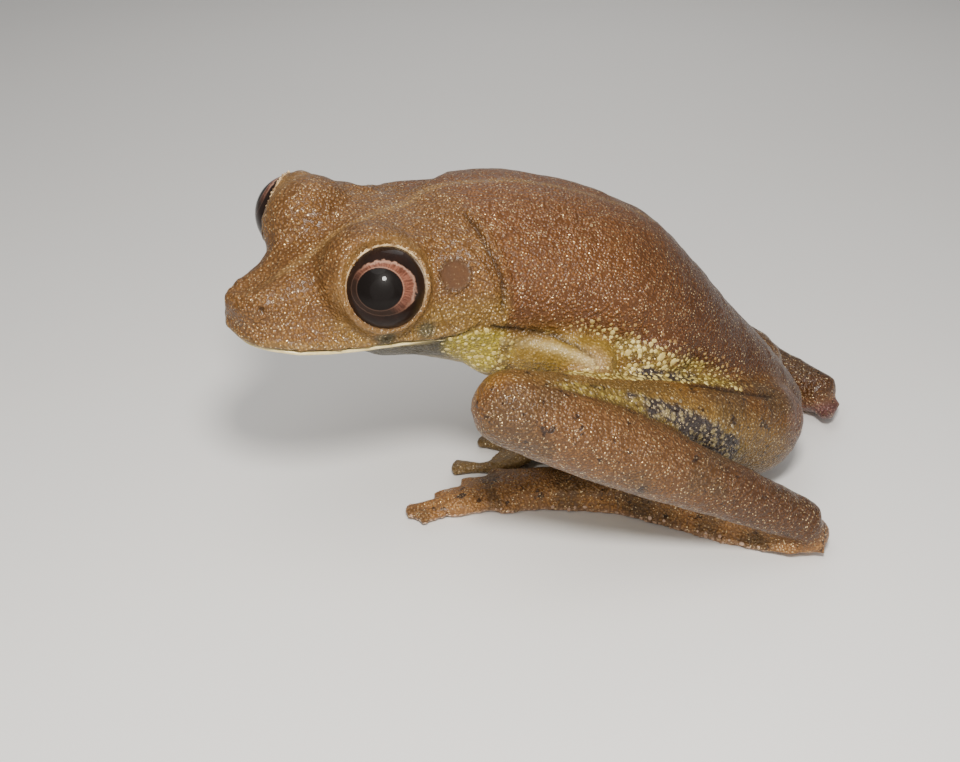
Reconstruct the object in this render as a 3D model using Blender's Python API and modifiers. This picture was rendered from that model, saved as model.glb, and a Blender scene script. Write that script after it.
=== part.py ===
"""A tree frog of the upper Orinoco at rest, life size, with its head turned to its left.

The frog faces -X with its left side towards -Y, and the floor is the plane z = 0.
Every size below is in millimetres and becomes metres where a mesh is made.
"""

import math

import bmesh
import bpy
import numpy as np
from mathutils import Matrix, Vector
from mathutils.bvhtree import BVHTree

MM = 0.001
GAP = 0.3
SIDES = {"left": -1, "right": 1}

# Head, in its own frame: forward, towards its left, and up from midway between the eyes.
MID_EYES = (-19.55, -10.35, 44.1)
HEAD_YAW = math.radians(32.0)
HEAD_ROLL = math.radians(12.4)
NECK_AT = -14.5
NECK_LEAN = math.radians(12)
SNOUT_TIP = 16.2
# forward, crown height, ridge half width, ridge height, lip half width, lip height, chin height
HEAD_SECTIONS = (
    (15.6, -2.1, 2.2, -2.4, 3.0, -5.9, -7.2),
    (13.6, -1.1, 3.3, -1.3, 5.4, -6.6, -8.5),
    (10.4, -0.4, 3.7, -0.6, 7.8, -7.2, -9.8),
    (5.2, 0.7, 4.6, 0.3, 10.2, -7.8, -11.2),
    (0.0, 2.3, 6.8, 1.8, 12.2, -8.2, -12.3),
    (-5.0, 2.8, 8.8, 1.8, 13.8, -8.6, -13.6),
    (-10.0, 2.1, 9.6, 0.8, 14.8, -8.8, -15.0),
    (-15.0, 1.0, 9.8, -0.4, 14.8, -9.0, -16.2),
    (-20.0, 0.4, 9.0, -1.4, 13.0, -9.4, -16.6),
)
CHEEK_HOLLOW = 0.5
MOUTH_DROP = 0.3
MOUTH_CORNER = -12.6
LIP_THICKNESS = 0.4

EYE_SIDE = 9.6
EYE_HEIGHT = -1.0
EYE_RADIUS = 5.2
EYE_AROUND = 18
EYE_RINGS = 10
BROW_SIDE = 6.4
BROW_RADII = (6.5, 5.5, 6.7)
# The lids' opening: the way it faces (forward, outward, up), its distance from the eye's middle
LID_FACES = (0.256, 0.82, 0.512)
LID_AHEAD = 1.4
LID_COVER = 0.6
LID_OPENING_DEPTH = 2.4
LID_THICKNESS = 0.42
NOSTRIL_FORWARD = 13.2
NOSTRIL_SIDE = 3.5
NOSTRIL_RADIUS = 0.6
EARDRUM_FORWARD = -8.6
EARDRUM_HEIGHT = -1.3
EARDRUM_RADIUS = 2.0
EARDRUM_RIM = 0.3
# Forward and height of the fold that runs from the eye over the eardrum down to the arm
EAR_FOLD = ((-5.2, 1.8), (-8.2, 2.2), (-10.8, 1.1), (-12.0, -1.4), (-12.0, -4.2))
FOLD_THICKNESS = 0.45

# Trunk: x, y, z of its axis, half width, height above the axis, depth below it
TRUNK_SECTIONS = (
    (44.0, 0.0, 10.2, 6.0, 4.6, 5.0),
    (38.5, 0.0, 15.3, 8.5, 5.8, 7.0),
    (32.0, 0.0, 21.2, 10.6, 6.6, 9.0),
    (25.0, -0.3, 27.2, 12.6, 8.4, 11.0),
    (17.5, -0.6, 31.8, 14.4, 11.0, 12.0),
    (9.0, -1.2, 34.4, 15.0, 12.6, 12.5),
    (0.0, -2.4, 35.6, 14.8, 13.0, 12.6),
    (-8.0, -4.2, 35.8, 14.0, 12.2, 10.6),
    (-13.0, -6.2, 35.8, 12.5, 10.4, 8.5),
)
SHOULDER_SWELL = (5.4, 3.6, 4.6)

# Joints of the limbs
HIP = {"left": (39.6, -8.2, 11.6), "right": (41.5, 6.2, 12.4)}
KNEE = {"left": (-0.2, -27.7, 28.6), "right": (27.0, 44.5, 9.6)}
HEEL = {"left": (41.3, -24.6, 4.4), "right": (56.7, 8.9, 5.3)}
INSTEP = {"left": (19.6, -9.2, 2.6), "right": (40.8, 28.4, 2.6)}
MIDFOOT = {"left": (7.0, -6.4, 2.0), "right": (31.0, 40.0, 2.0)}
TOE_TIP = {"left": (-12.6, -10.0, 0.8), "right": (16.5, 52.5, 0.8)}
SHOULDER = {"left": (0.8, -12.9, 29.6), "right": (1.5, 8.5, 30.5)}
ELBOW = {"left": (13.0, -17.0, 28.6), "right": (16.5, 17.5, 25.5)}
WRIST = {"left": (12.4, -3.6, 12.4), "right": (16.0, 15.5, 10.0)}
KNUCKLES = {"left": (9.6, 2.2, 2.6), "right": (12.5, 16.2, 3.0)}
FINGER_TIP = {"left": (-1.0, 11.7, 0.5), "right": (3.5, 19.0, 0.8)}

# Limb shapes: share of the way, half width, height above the axis, depth below it
THIGH_SHAPE = ((0.0, 6.0, 6.0, 8.8), (0.25, 6.2, 5.4, 7.6), (0.7, 5.2, 4.6, 5.6), (1.0, 4.6, 4.6, 4.8))
SHANK_SHAPE = ((0.0, 4.3, 4.8, 4.8), (0.3, 4.8, 5.2, 4.7), (0.65, 4.0, 4.5, 3.3), (1.0, 2.9, 3.4, 2.0))
TARSUS_SHAPE = ((0.0, 2.9, 2.6, 3.2), (0.5, 2.9, 2.3, 3.3), (1.0, 3.1, 2.0, 2.8))
UPPER_ARM_SHAPE = ((0.0, 3.5, 3.8, 3.8), (0.5, 2.9, 3.1, 3.1), (1.0, 2.5, 2.6, 2.6))
FOREARM_SHAPE = ((0.0, 2.5, 2.6, 2.6), (0.4, 3.0, 2.9, 2.9), (1.0, 2.0, 1.8, 1.8))
FOOT_SHAPE = ((0.0, 3.1, 2.0, 2.8), (0.45, 3.4, 1.6, 2.2), (0.75, 2.6, 1.1, 1.6))
PALM_SHAPE = ((0.0, 2.1, 1.7, 1.7), (0.6, 3.0, 1.5, 1.6), (1.0, 3.0, 1.2, 1.4))
BLUNT = 0.55

# Each toe and finger: reach along the foot or hand, reach towards its outer side.
# The left foot holds its toes close together, and the other digits are spread.
TOES = {
    "left": ((18.0, -4.2), (22.0, -3.3), (26.5, -2.1), (31.6, -0.7), (30.4, 1.2)),
    "right": ((19.0, -4.8), (24.0, -3.6), (29.5, -1.9), (34.0, 0.4), (29.0, 3.0)),
}
FINGERS = {
    "left": ((8.5, -5.2), (11.5, -2.4), (13.5, 0.8), (13.0, 9.4)),
    "right": ((9.0, -3.6), (12.5, -0.8), (14.5, 2.2), (11.5, 5.4)),
}
TOE_RADIUS = 0.95
TOE_DISC = 1.35
FINGER_RADIUS = 0.95
FINGER_DISC = 1.6
WEB_THICKNESS = 0.6
# The pointed heel: how far it stands out behind, its reach to the outer side and its tip's height over the heel's
CALCAR_LENGTH = 1.6
CALCAR_ASIDE = {"left": 0.5, "right": -3.5}
CALCAR_LIFT = {"left": 0.0, "right": 1.2}
# The fringe along the outer edge of foot and tarsus: how far out its middle lies, and its half width
FRINGE_ASIDE = 2.0
FRINGE_WIDTH = 1.9
FRINGE_SCALLOP = 0.4
FRINGE_HEIGHT = 0.5
FRINGE_WAVE = 2.9
# Along a digit: share of its length, width and height in its radii; None is the disc's own width
DIGIT_SHARES = (0.0, 0.3, 0.6, 0.84, 0.93, 1.0)
DIGIT_WIDTHS = (1.1, 1.0, 0.9, 0.85, None, None)
DIGIT_HEIGHTS = (1.1, 1.0, 0.9, 0.8, 0.75, 0.6)
BODY_TRIANGLES = 3800

SKIN_COLOUR = (0.30, 0.17, 0.075, 1.0)
EYE_COLOUR = (0.16, 0.06, 0.045, 1.0)


def clear_scene():
    for thing in list(bpy.data.objects):
        bpy.data.objects.remove(thing, do_unlink=True)


def new_collection(name):
    group = bpy.data.collections.new(name)
    bpy.context.scene.collection.children.link(group)
    return group


def finish_material(name, colour, roughness):
    """A plain Principled finish for one node."""
    material = bpy.data.materials.new(name)
    material.use_nodes = True
    shader = material.node_tree.nodes["Principled BSDF"]
    shader.inputs["Base Color"].default_value = colour
    shader.inputs["Roughness"].default_value = roughness
    shader.inputs["Metallic"].default_value = 0.0
    return material


def mesh_object(name, points, faces):
    """An object from points in millimetres."""
    mesh = bpy.data.meshes.new(name)
    mesh.from_pydata([Vector(point) * MM for point in points], [], faces)
    thing = bpy.data.objects.new(name, mesh)
    FORMS.objects.link(thing)
    face_outwards(thing)
    return thing


def face_outwards(thing):
    shape = bmesh.new()
    shape.from_mesh(thing.data)
    bmesh.ops.recalc_face_normals(shape, faces=shape.faces)
    if shape.calc_volume(signed=True) < 0:
        bmesh.ops.reverse_faces(shape, faces=shape.faces)
    shape.to_mesh(thing.data)
    shape.free()


def carried(rows, count):
    """Rows of numbers carried on smoothly through the given rows, whose first three are a place."""
    rows = np.array(rows, float)
    along = np.concatenate([[0.0], np.cumsum(np.linalg.norm(np.diff(rows[:, :3], axis=0), axis=1))])
    slopes = np.gradient(rows, along, axis=0)
    wanted = np.linspace(0.0, along[-1], count)
    piece = np.clip(np.searchsorted(along, wanted, side="right") - 1, 0, len(rows) - 2)
    span = (along[piece + 1] - along[piece])[:, None]
    t = (wanted - along[piece])[:, None] / span
    start, end = rows[piece], rows[piece + 1]
    lead, trail = slopes[piece] * span, slopes[piece + 1] * span
    return (
        start * (2 * t**3 - 3 * t**2 + 1)
        + lead * (t**3 - 2 * t**2 + t)
        + end * (3 * t**2 - 2 * t**3)
        + trail * (t**3 - t**2)
    )


def skinned(name, rings):
    """A closed skin over rings of like count, with a point at each end."""
    count = len(rings[0])
    points = [tuple(point) for ring in rings for point in ring]
    faces = []
    for ring in range(len(rings) - 1):
        for step in range(count):
            after = (step + 1) % count
            low, high = ring * count, (ring + 1) * count
            faces.append((low + step, low + after, high + after, high + step))
    for ring in (0, len(rings) - 1):
        middle = len(points)
        points.append(tuple(np.mean(rings[ring], axis=0)))
        for step in range(count):
            faces.append((ring * count + step, ring * count + (step + 1) % count, middle))
    return mesh_object(name, points, faces)


def limb(name, rows, rings, around, up=(0, 0, 1), blunt=(1.0, 1.0)):
    """A tube of changing oval section with round ends, through rows of x, y, z, half width, above, below."""
    rows = carried(rows, rings)
    centres = rows[:, :3]
    ways = np.gradient(centres, axis=0)
    ways /= np.linalg.norm(ways, axis=1)[:, None]
    plan = [(centre, way, row[3:], 1.0) for centre, way, row in zip(centres, ways, rows)]
    first, last = plan[0], plan[-1]
    for turn in (math.radians(28), math.radians(56), math.radians(80)):
        for centre, way, sizes, _ in (first, last):
            at_start = centre is first[0]
            reach = float(np.mean(sizes)) * (-blunt[0] if at_start else blunt[1])
            ring = (centre + way * reach * math.sin(turn), way, sizes, math.cos(turn))
            plan.insert(0 if at_start else len(plan), ring)
    rings_of_points = []
    for centre, way, (half_width, above, below), scale in plan:
        side = np.cross(way, up)
        side /= np.linalg.norm(side)
        top = np.cross(side, way)
        ring = []
        for step in range(around):
            turn = 2 * math.pi * (step + 0.5) / around
            across = math.cos(turn) * half_width
            rise = math.sin(turn) * (above if turn < math.pi else below)
            ring.append(centre + (side * across + top * rise) * scale)
        rings_of_points.append(ring)
    return skinned(name, rings_of_points)


def between(start, end, shape):
    """The rows of a straight limb: its shape's shares of the way from start to end."""
    return [(*Vector(start).lerp(Vector(end), share), *sizes) for share, *sizes in shape]


def evaluated_into(thing):
    """Gives the object the mesh that its modifiers make, and drops the modifiers."""
    graph = bpy.context.evaluated_depsgraph_get()
    mesh = bpy.data.meshes.new_from_object(thing.evaluated_get(graph))
    thing.modifiers.clear()
    thing.data = mesh


def combine(thing, others, operation, solver="EXACT"):
    """One Boolean of the object with all the others, which it uses up."""
    group = bpy.data.collections.new("operands")
    for other in others:
        group.objects.link(other)
    boolean = thing.modifiers.new(operation.title(), "BOOLEAN")
    boolean.operation = operation
    boolean.operand_type = "COLLECTION"
    boolean.collection = group
    boolean.solver = solver
    evaluated_into(thing)
    for other in others:
        bpy.data.objects.remove(other, do_unlink=True)
    bpy.data.collections.remove(group)
    return keep_largest(thing)


def keep_largest(thing):
    """Welds the mesh and keeps only its largest closed surface."""
    shape = bmesh.new()
    shape.from_mesh(thing.data)
    bmesh.ops.remove_doubles(shape, verts=shape.verts, dist=0.002 * MM)
    bmesh.ops.dissolve_degenerate(shape, edges=shape.edges, dist=0.002 * MM)
    bmesh.ops.triangulate(shape, faces=shape.faces)
    unseen = set(shape.faces)
    largest = set()
    widest = 0.0
    while unseen:
        island = {unseen.pop()}
        front = list(island)
        while front:
            around = {other for edge in front.pop().edges for other in edge.link_faces}
            fresh = around & unseen
            unseen -= fresh
            island |= fresh
            front.extend(fresh)
        area = sum(face.calc_area() for face in island)
        if area > widest:
            largest, widest = island, area
    scraps = [face for face in shape.faces if face not in largest]
    bmesh.ops.delete(shape, geom=scraps, context="FACES")
    shape.to_mesh(thing.data)
    shape.free()
    return thing


def copied(thing, swell=0.0):
    """A copy of the object, swollen along its normals by so many millimetres."""
    twin = thing.copy()
    twin.data = thing.data.copy()
    FORMS.objects.link(twin)
    shape = bmesh.new()
    shape.from_mesh(twin.data)
    shape.normal_update()
    places = [vertex.co + vertex.normal * vertex.calc_shell_factor() * swell * MM for vertex in shape.verts]
    for vertex, place in zip(shape.verts, places):
        vertex.co = place
    shape.to_mesh(twin.data)
    shape.free()
    return twin


def clear_of(thing, neighbours):
    """Cuts the object back to the gap from each neighbour."""
    return combine(thing, [copied(neighbour, GAP) for neighbour in neighbours], "DIFFERENCE")


def sliced(thing, point, normal, back=GAP / 2):
    """Keeps the part of the object on the side of a plane that its normal points to."""
    shape = bmesh.new()
    shape.from_mesh(thing.data)
    normal = Vector(normal).normalized()
    place = (Vector(point) + normal * back) * MM
    every = shape.verts[:] + shape.edges[:] + shape.faces[:]
    bmesh.ops.bisect_plane(shape, geom=every, plane_co=place, plane_no=normal, clear_inner=True)
    bmesh.ops.holes_fill(shape, edges=[edge for edge in shape.edges if edge.is_boundary])
    shape.to_mesh(thing.data)
    shape.free()
    return keep_largest(thing)


def parted(first, second, start, joint, end):
    """Parts two limb lengths that meet at a joint by the plane halfway between them."""
    joint = Vector(joint)
    across = (Vector(start) - joint).normalized() - (Vector(end) - joint).normalized()
    sliced(first, joint, across)
    sliced(second, joint, -across)


def on_floor(thing):
    """Cuts away what lies under the floor, which leaves a small flat."""
    return sliced(thing, (0, 0, 0), (0, 0, 1), back=0.0)


def softened(thing, voxel, rounds, triangles):
    """Melts the object's joins into one smooth form and thins its mesh."""
    remesh = thing.modifiers.new("Melt", "REMESH")
    remesh.mode = "VOXEL"
    remesh.voxel_size = voxel * MM
    smooth = thing.modifiers.new("Smooth", "SMOOTH")
    smooth.factor = 0.5
    smooth.iterations = rounds
    evaluated_into(thing)
    thin = thing.modifiers.new("Thin", "DECIMATE")
    thin.ratio = min(1.0, triangles / sum(len(face.vertices) - 2 for face in thing.data.polygons))
    thin.use_collapse_triangulate = True
    evaluated_into(thing)
    return keep_largest(thing)


def node(thing, name, colour=SKIN_COLOUR, roughness=0.45):
    """Puts a finished form into the frog's collection under its name."""
    thing.name = name
    thing.data.name = name
    thing.data.materials.clear()
    thing.data.materials.append(finish_material(name + "_finish", colour, roughness))
    thing.data.shade_smooth()
    thing.data.set_sharp_from_angle(angle=math.radians(45))
    FORMS.objects.unlink(thing)
    FROG.objects.link(thing)
    return thing


def head_frame():
    """The head's directions: ahead, towards its left, and up."""
    turn = Matrix.Rotation(HEAD_ROLL, 3, "X") @ Matrix.Rotation(HEAD_YAW, 3, "Z")
    return turn @ Vector((-1, 0, 0)), turn @ Vector((0, -1, 0)), turn @ Vector((0, 0, 1))


def in_head(forward, left, height):
    """The place of a point given in the head's own frame."""
    ahead, leftward, up = head_frame()
    return Vector(MID_EYES) + ahead * forward + leftward * left + up * height


def egg(name, centre, radii, around=24, rings=14, axes=None):
    """A ball or an egg at a place, its radii along the axes given."""
    shape = bmesh.new()
    bmesh.ops.create_uvsphere(shape, u_segments=around, v_segments=rings, radius=1.0)
    axes = axes or (Vector((1, 0, 0)), Vector((0, 1, 0)), Vector((0, 0, 1)))
    for vertex in shape.verts:
        shares = vertex.co.copy()
        offset = sum((axis * radius * share for axis, radius, share in zip(axes, radii, shares)), Vector())
        vertex.co = (Vector(centre) + offset) * MM
    mesh = bpy.data.meshes.new(name)
    shape.to_mesh(mesh)
    shape.free()
    thing = bpy.data.objects.new(name, mesh)
    FORMS.objects.link(thing)
    face_outwards(thing)
    return thing


def ring_form(name, centre, axis, radius, thickness, around, section):
    """A ring that lies square to its axis."""
    bpy.ops.mesh.primitive_torus_add(
        major_segments=around,
        minor_segments=section,
        major_radius=radius * MM,
        minor_radius=thickness * MM,
    )
    thing = bpy.context.object
    thing.name = name
    for group in list(thing.users_collection):
        group.objects.unlink(thing)
    FORMS.objects.link(thing)
    turn = Vector(axis).to_track_quat("Z", "Y").to_matrix().to_4x4()
    thing.data.transform(Matrix.Translation(Vector(centre) * MM) @ turn)
    return thing


def head_ring(forward, crown, ridge_width, ridge, lip_width, lip, chin, around):
    """One section of the head: crown, ridge, hollow cheek, lip and chin."""
    half = (
        (0.0, crown),
        (ridge_width * 0.55, crown * 0.75 + ridge * 0.25),
        (ridge_width, ridge),
        ((ridge_width + lip_width) / 2 - CHEEK_HOLLOW, (ridge + lip) / 2),
        (lip_width, lip),
        (lip_width * 0.82, lip * 0.6 + chin * 0.4),
        (lip_width * 0.5, lip * 0.12 + chin * 0.88),
        (0.0, chin),
    )
    outline = list(half) + [(-left, height) for left, height in half[-2:0:-1]]
    overlap = 3
    wrapped = outline[-overlap:] + outline + outline[: overlap + 1]
    steps = 8
    fine = smooth_outline(wrapped, steps)[overlap * steps : (overlap + len(outline)) * steps + 1]
    travelled = np.concatenate([[0.0], np.cumsum(np.linalg.norm(np.diff(fine, axis=0), axis=1))])
    wanted = np.linspace(0.0, travelled[-1], around, endpoint=False)
    lefts = np.interp(wanted, travelled, fine[:, 0])
    heights = np.interp(wanted, travelled, fine[:, 1])
    return [in_head(forward, left, height) for left, height in zip(lefts, heights)]


def smooth_outline(points, steps):
    """A curve through flat points, with so many steps from each to the next."""
    points = np.array(points)
    fine = []
    for before, start, end, after in zip(points, points[1:], points[2:], points[3:]):
        for step in range(steps):
            t = step / steps
            fine.append(
                start
                + (end - before) * 0.5 * t
                + (2 * before - 5 * start + 4 * end - after) * 0.5 * t**2
                + (3 * start - before - 3 * end + after) * 0.5 * t**3
            )
    return np.concatenate([np.repeat(points[:1], steps, axis=0), fine, points[-2:-1]])


def head_rows(count):
    return carried([(section[0], 0.0, 0.0) + section[1:] for section in HEAD_SECTIONS], count)


def lid_opening(left_sign):
    """The middle of an eye's lid opening and the way that it faces."""
    ahead, leftward, up = head_frame()
    forward, outward, upward = LID_FACES
    faces = (ahead * forward + leftward * outward * left_sign + up * upward).normalized()
    return in_head(0.0, left_sign * EYE_SIDE, EYE_HEIGHT) + faces * LID_AHEAD, faces


def whole_body():
    """Head, brows, lids, trunk and shoulders melted into one form."""
    rings = [head_ring(row[0], *row[3:], around=36) for row in head_rows(26)]
    head = skinned("head_form", rings)
    pieces = [limb("trunk_form", TRUNK_SECTIONS, rings=30, around=36)]
    for left in (-1, 1):
        pieces.append(egg("brow", in_head(0.0, left * BROW_SIDE, EYE_HEIGHT), BROW_RADII, axes=head_frame()))
        middle, faces = lid_opening(left)
        cover = egg("lids", middle - faces * LID_AHEAD, (EYE_RADIUS + LID_COVER,) * 3)
        pieces.append(sliced(cover, middle, -faces, back=0.0))
    for side in SIDES:
        pieces.append(egg("shoulder_swell", SHOULDER[side], SHOULDER_SWELL))
    combine(head, pieces, "UNION")
    return softened(head, voxel=0.7, rounds=5, triangles=BODY_TRIANGLES)


def skin_finder(thing):
    """A search tree of the object's surface, in millimetres."""
    shape = bmesh.new()
    shape.from_mesh(thing.data)
    bmesh.ops.scale(shape, vec=(1 / MM,) * 3, verts=shape.verts)
    tree = BVHTree.FromBMesh(shape)
    shape.free()
    return tree


def beside_head(skin, forward, left_sign, height):
    """Where the head's skin lies at that length and height on one side, and its normal."""
    _, leftward, _ = head_frame()
    start = in_head(forward, left_sign * 40.0, height)
    place, normal, _, _ = skin.ray_cast(start, -leftward * left_sign)
    return place, normal


def ridge(name, places, thickness, rings):
    """A rounded ridge along places on the skin."""
    rows = [(*place, thickness, thickness, thickness) for place in places]
    return limb(name, rows, rings, 6, up=head_frame()[2] + Vector((0.01, 0.02, 0.0)))


def lip_places(skin):
    """Points along the upper lip, from one corner of the mouth round the snout to the other."""
    rows = [row for row in head_rows(24) if row[0] > MOUTH_CORNER][::-1]
    wanted = [(row[0], row[6], row[7]) for row in rows]
    wanted.append((SNOUT_TIP, 0.0, rows[-1][7]))
    wanted += [(forward, -left, lip) for forward, left, lip in wanted[-2::-1]]
    raised = LIP_THICKNESS - MOUTH_DROP
    return [skin.find_nearest(in_head(forward, left, lip + raised))[0] for forward, left, lip in wanted]


def under_mouth(shift):
    """The block below the line of the mouth, moved up by so much."""
    reach = 40.0
    rows = head_rows(24)
    heights = [(reach, rows[0][7])] + [(row[0], row[7]) for row in rows] + [(-reach, rows[-1][7])]
    rings = []
    for forward, lip in heights:
        top = lip - MOUTH_DROP + shift
        corners = ((reach, top), (-reach, top), (-reach, -reach), (reach, -reach))
        rings.append([in_head(forward, left, height) for left, height in corners])
    return skinned("under_mouth", rings)


def head_nodes(body):
    """Cuts the head from the body, with its eyes, lids, nostrils, eardrums, folds and jaw."""
    ahead, _, up = head_frame()
    neck = in_head(NECK_AT, 0.0, 0.0)
    neck_way = ahead * math.cos(NECK_LEAN) + up * math.sin(NECK_LEAN)
    skin = skin_finder(body)
    head = sliced(copied(body), neck, neck_way)
    torso = sliced(body, neck, -neck_way)
    added = [ridge("lip", lip_places(skin), LIP_THICKNESS, 26)]
    cutters = []
    lid_radius = math.sqrt(EYE_RADIUS**2 - LID_AHEAD**2) + LID_THICKNESS / 2
    for left in (1, -1):
        lid_centre, lid_faces = lid_opening(left)
        added.append(ring_form("lid", lid_centre, lid_faces, lid_radius, LID_THICKNESS, 20, 6))
        drum, drum_way = beside_head(skin, EARDRUM_FORWARD, left, EARDRUM_HEIGHT)
        added.append(ring_form("eardrum_rim", drum, drum_way, EARDRUM_RADIUS, EARDRUM_RIM, 16, 5))
        fold = [beside_head(skin, forward, left, height)[0] for forward, height in EAR_FOLD]
        added.append(ridge("ear_fold", fold, FOLD_THICKNESS, 10))
        socket = in_head(0.0, left * EYE_SIDE, EYE_HEIGHT)
        cutters.append(egg("socket", socket, (EYE_RADIUS + GAP,) * 3, EYE_AROUND, EYE_RINGS))
        opening = lid_centre + lid_faces * LID_OPENING_DEPTH
        cutters.append(egg("opening", opening, (lid_radius - LID_THICKNESS,) * 3, EYE_AROUND, EYE_RINGS))
        nostril = in_head(NOSTRIL_FORWARD, left * NOSTRIL_SIDE, 20.0)
        place, _, _, _ = skin.ray_cast(nostril, -up)
        cutters.append(egg("nostril", place, (NOSTRIL_RADIUS,) * 3, 10, 6))
    combine(head, added, "UNION")
    combine(head, cutters, "DIFFERENCE")
    jaw = copied(head)
    combine(jaw, [under_mouth(-GAP / 2)], "INTERSECT")
    combine(head, [under_mouth(GAP / 2)], "DIFFERENCE")
    node(head, "head")
    node(jaw, "lower_jaw")
    for side, sign in SIDES.items():
        centre = in_head(0.0, -sign * EYE_SIDE, EYE_HEIGHT)
        ball = egg("eye", centre, (EYE_RADIUS,) * 3, EYE_AROUND, EYE_RINGS)
        node(ball, "eye_" + side, EYE_COLOUR, 0.1)
    return head, jaw, node(torso, "torso")


def path_finder(points):
    """A way to ask for the place and direction at any distance along a curve through points."""
    fine = carried([(*point, 0.0) for point in points], 80)[:, :3]
    travelled = np.concatenate([[0.0], np.cumsum(np.linalg.norm(np.diff(fine, axis=0), axis=1))])
    ways = np.gradient(fine, axis=0)

    def at(distance):
        place = Vector([np.interp(distance, travelled, fine[:, axis]) for axis in range(3)])
        way = Vector([np.interp(distance, travelled, ways[:, axis]) for axis in range(3)])
        return place + way.normalized() * max(0.0, distance - travelled[-1]), way.normalized()

    return at


def digits(at, sign, root, tips, radius, disc, web_share):
    """Fingers or toes that fan out from a root along a path, with discs at their ends and webs between."""
    pieces = []
    lines = []
    for reach, aside in tips:
        line = []
        for share in DIGIT_SHARES:
            place, way = at(root + (reach - root) * share)
            outer = Vector((way.y, -way.x, 0)).normalized() * sign
            place = place + outer * aside * (0.3 + 0.7 * share)
            line.append(place)
        rows = []
        for place, width, height in zip(line, DIGIT_WIDTHS, DIGIT_HEIGHTS):
            half_width = disc if width is None else radius * width
            rows.append((*place, half_width, radius * height, radius * height))
        pieces.append(limb("digit", rows, 8, 6, blunt=(1.0, 0.7)))
        lines.append(line)
    for first, second in zip(lines, lines[1:]):
        rings = []
        for step in range(6):
            share = web_share * step / 5
            ends = []
            for line in (first, second):
                spot = share * (len(line) - 1)
                low = min(int(spot), len(line) - 2)
                ends.append(line[low].lerp(line[low + 1], spot - low))
            lift = Vector((0, 0, WEB_THICKNESS / 2))
            rings.append([ends[0] + lift, ends[0] - lift, ends[1] - lift, ends[1] + lift])
        pieces.append(skinned("web", rings))
    return pieces


def fringe(name, places, span):
    """A flat fringe of skin with a scalloped edge, along places beside a limb."""
    count = max(8, int(span / FRINGE_WAVE * 3))
    rows = carried([(*place, 0.0) for place in places], count)[:, :3]
    full = []
    for step, place in enumerate(rows):
        wave = abs(math.sin(math.pi * (step + 0.5) / 3))
        full.append((*place, FRINGE_WIDTH + FRINGE_SCALLOP * wave, FRINGE_HEIGHT, FRINGE_HEIGHT))
    return limb(name, full, count, 6)


def foot_nodes(side, sign):
    """The tarsus with its calcar, and the foot with toes, webs and fringe."""
    at = path_finder((INSTEP[side], MIDFOOT[side], TOE_TIP[side]))
    foot_length = 34.0
    rows = [(*at(share * foot_length)[0], *sizes) for share, *sizes in FOOT_SHAPE]
    foot = limb("foot_form", rows, 10, 12, blunt=(1.0, 0.8))
    tarsus = limb("tarsus_form", between(HEEL[side], INSTEP[side], TARSUS_SHAPE), 8, 12, blunt=(BLUNT, 1.0))
    toes = digits(at, sign, foot_length * 0.3, TOES[side], TOE_RADIUS, TOE_DISC, 0.7)
    edge = []
    for share in (0.0, 0.2, 0.4, 0.55):
        place, way = at(share * foot_length)
        outer = Vector((way.y, -way.x, 0)).normalized() * sign
        place = place + outer * FRINGE_ASIDE
        edge.append((place.x, place.y, FRINGE_HEIGHT))
    toes.append(fringe("foot_fringe", edge, foot_length * 0.55))
    combine(foot, toes, "UNION")
    heel, instep = Vector(HEEL[side]), Vector(INSTEP[side])
    way = (instep - heel).normalized()
    outer = Vector((way.y, -way.x, 0)).normalized() * sign
    edge = []
    heel_under = heel.z - TARSUS_SHAPE[0][3]
    for share in (-0.05, 0.3, 0.65, 1.0):
        place = heel.lerp(instep, share) + outer * FRINGE_ASIDE * (0.5 + 0.5 * share)
        edge.append((place.x, place.y, FRINGE_HEIGHT + heel_under * max(0.0, 1.0 - share / 0.3)))
    calcar_root = heel - way * 1.0
    calcar_tip = heel - way * (1.5 + CALCAR_LENGTH) + outer * CALCAR_ASIDE[side]
    calcar = limb(
        "calcar",
        [
            (calcar_root.x, calcar_root.y, heel_under + 1.6, 2.0, 1.5, 1.5),
            (*calcar_root.lerp(calcar_tip, 0.6).to_2d(), heel_under + 0.8, 1.0, 0.8, 0.8),
            (calcar_tip.x, calcar_tip.y, heel_under + 0.3 + CALCAR_LIFT[side], 0.3, 0.3, 0.3),
        ],
        6,
        8,
    )
    combine(tarsus, [fringe("tarsus_fringe", edge, 25.0), calcar], "UNION")
    parted(tarsus, foot, HEEL[side], INSTEP[side], at(6.0)[0])
    return tarsus, foot


def leg_nodes(side, sign, torso):
    """Thigh, shank, tarsus and foot, each meeting the next face to face."""
    thigh = limb("thigh_form", between(HIP[side], KNEE[side], THIGH_SHAPE), 12, 16)
    shank = limb("shank_form", between(KNEE[side], HEEL[side], SHANK_SHAPE), 12, 16, blunt=(1.0, BLUNT))
    tarsus, foot = foot_nodes(side, sign)
    parted(thigh, shank, HIP[side], KNEE[side], HEEL[side])
    parted(shank, tarsus, KNEE[side], HEEL[side], INSTEP[side])
    clear_of(thigh, [torso])
    for thing, name in ((thigh, "thigh_"), (shank, "shank_"), (tarsus, "tarsus_"), (foot, "foot_")):
        node(on_floor(thing), name + side)
    return thigh


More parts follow.
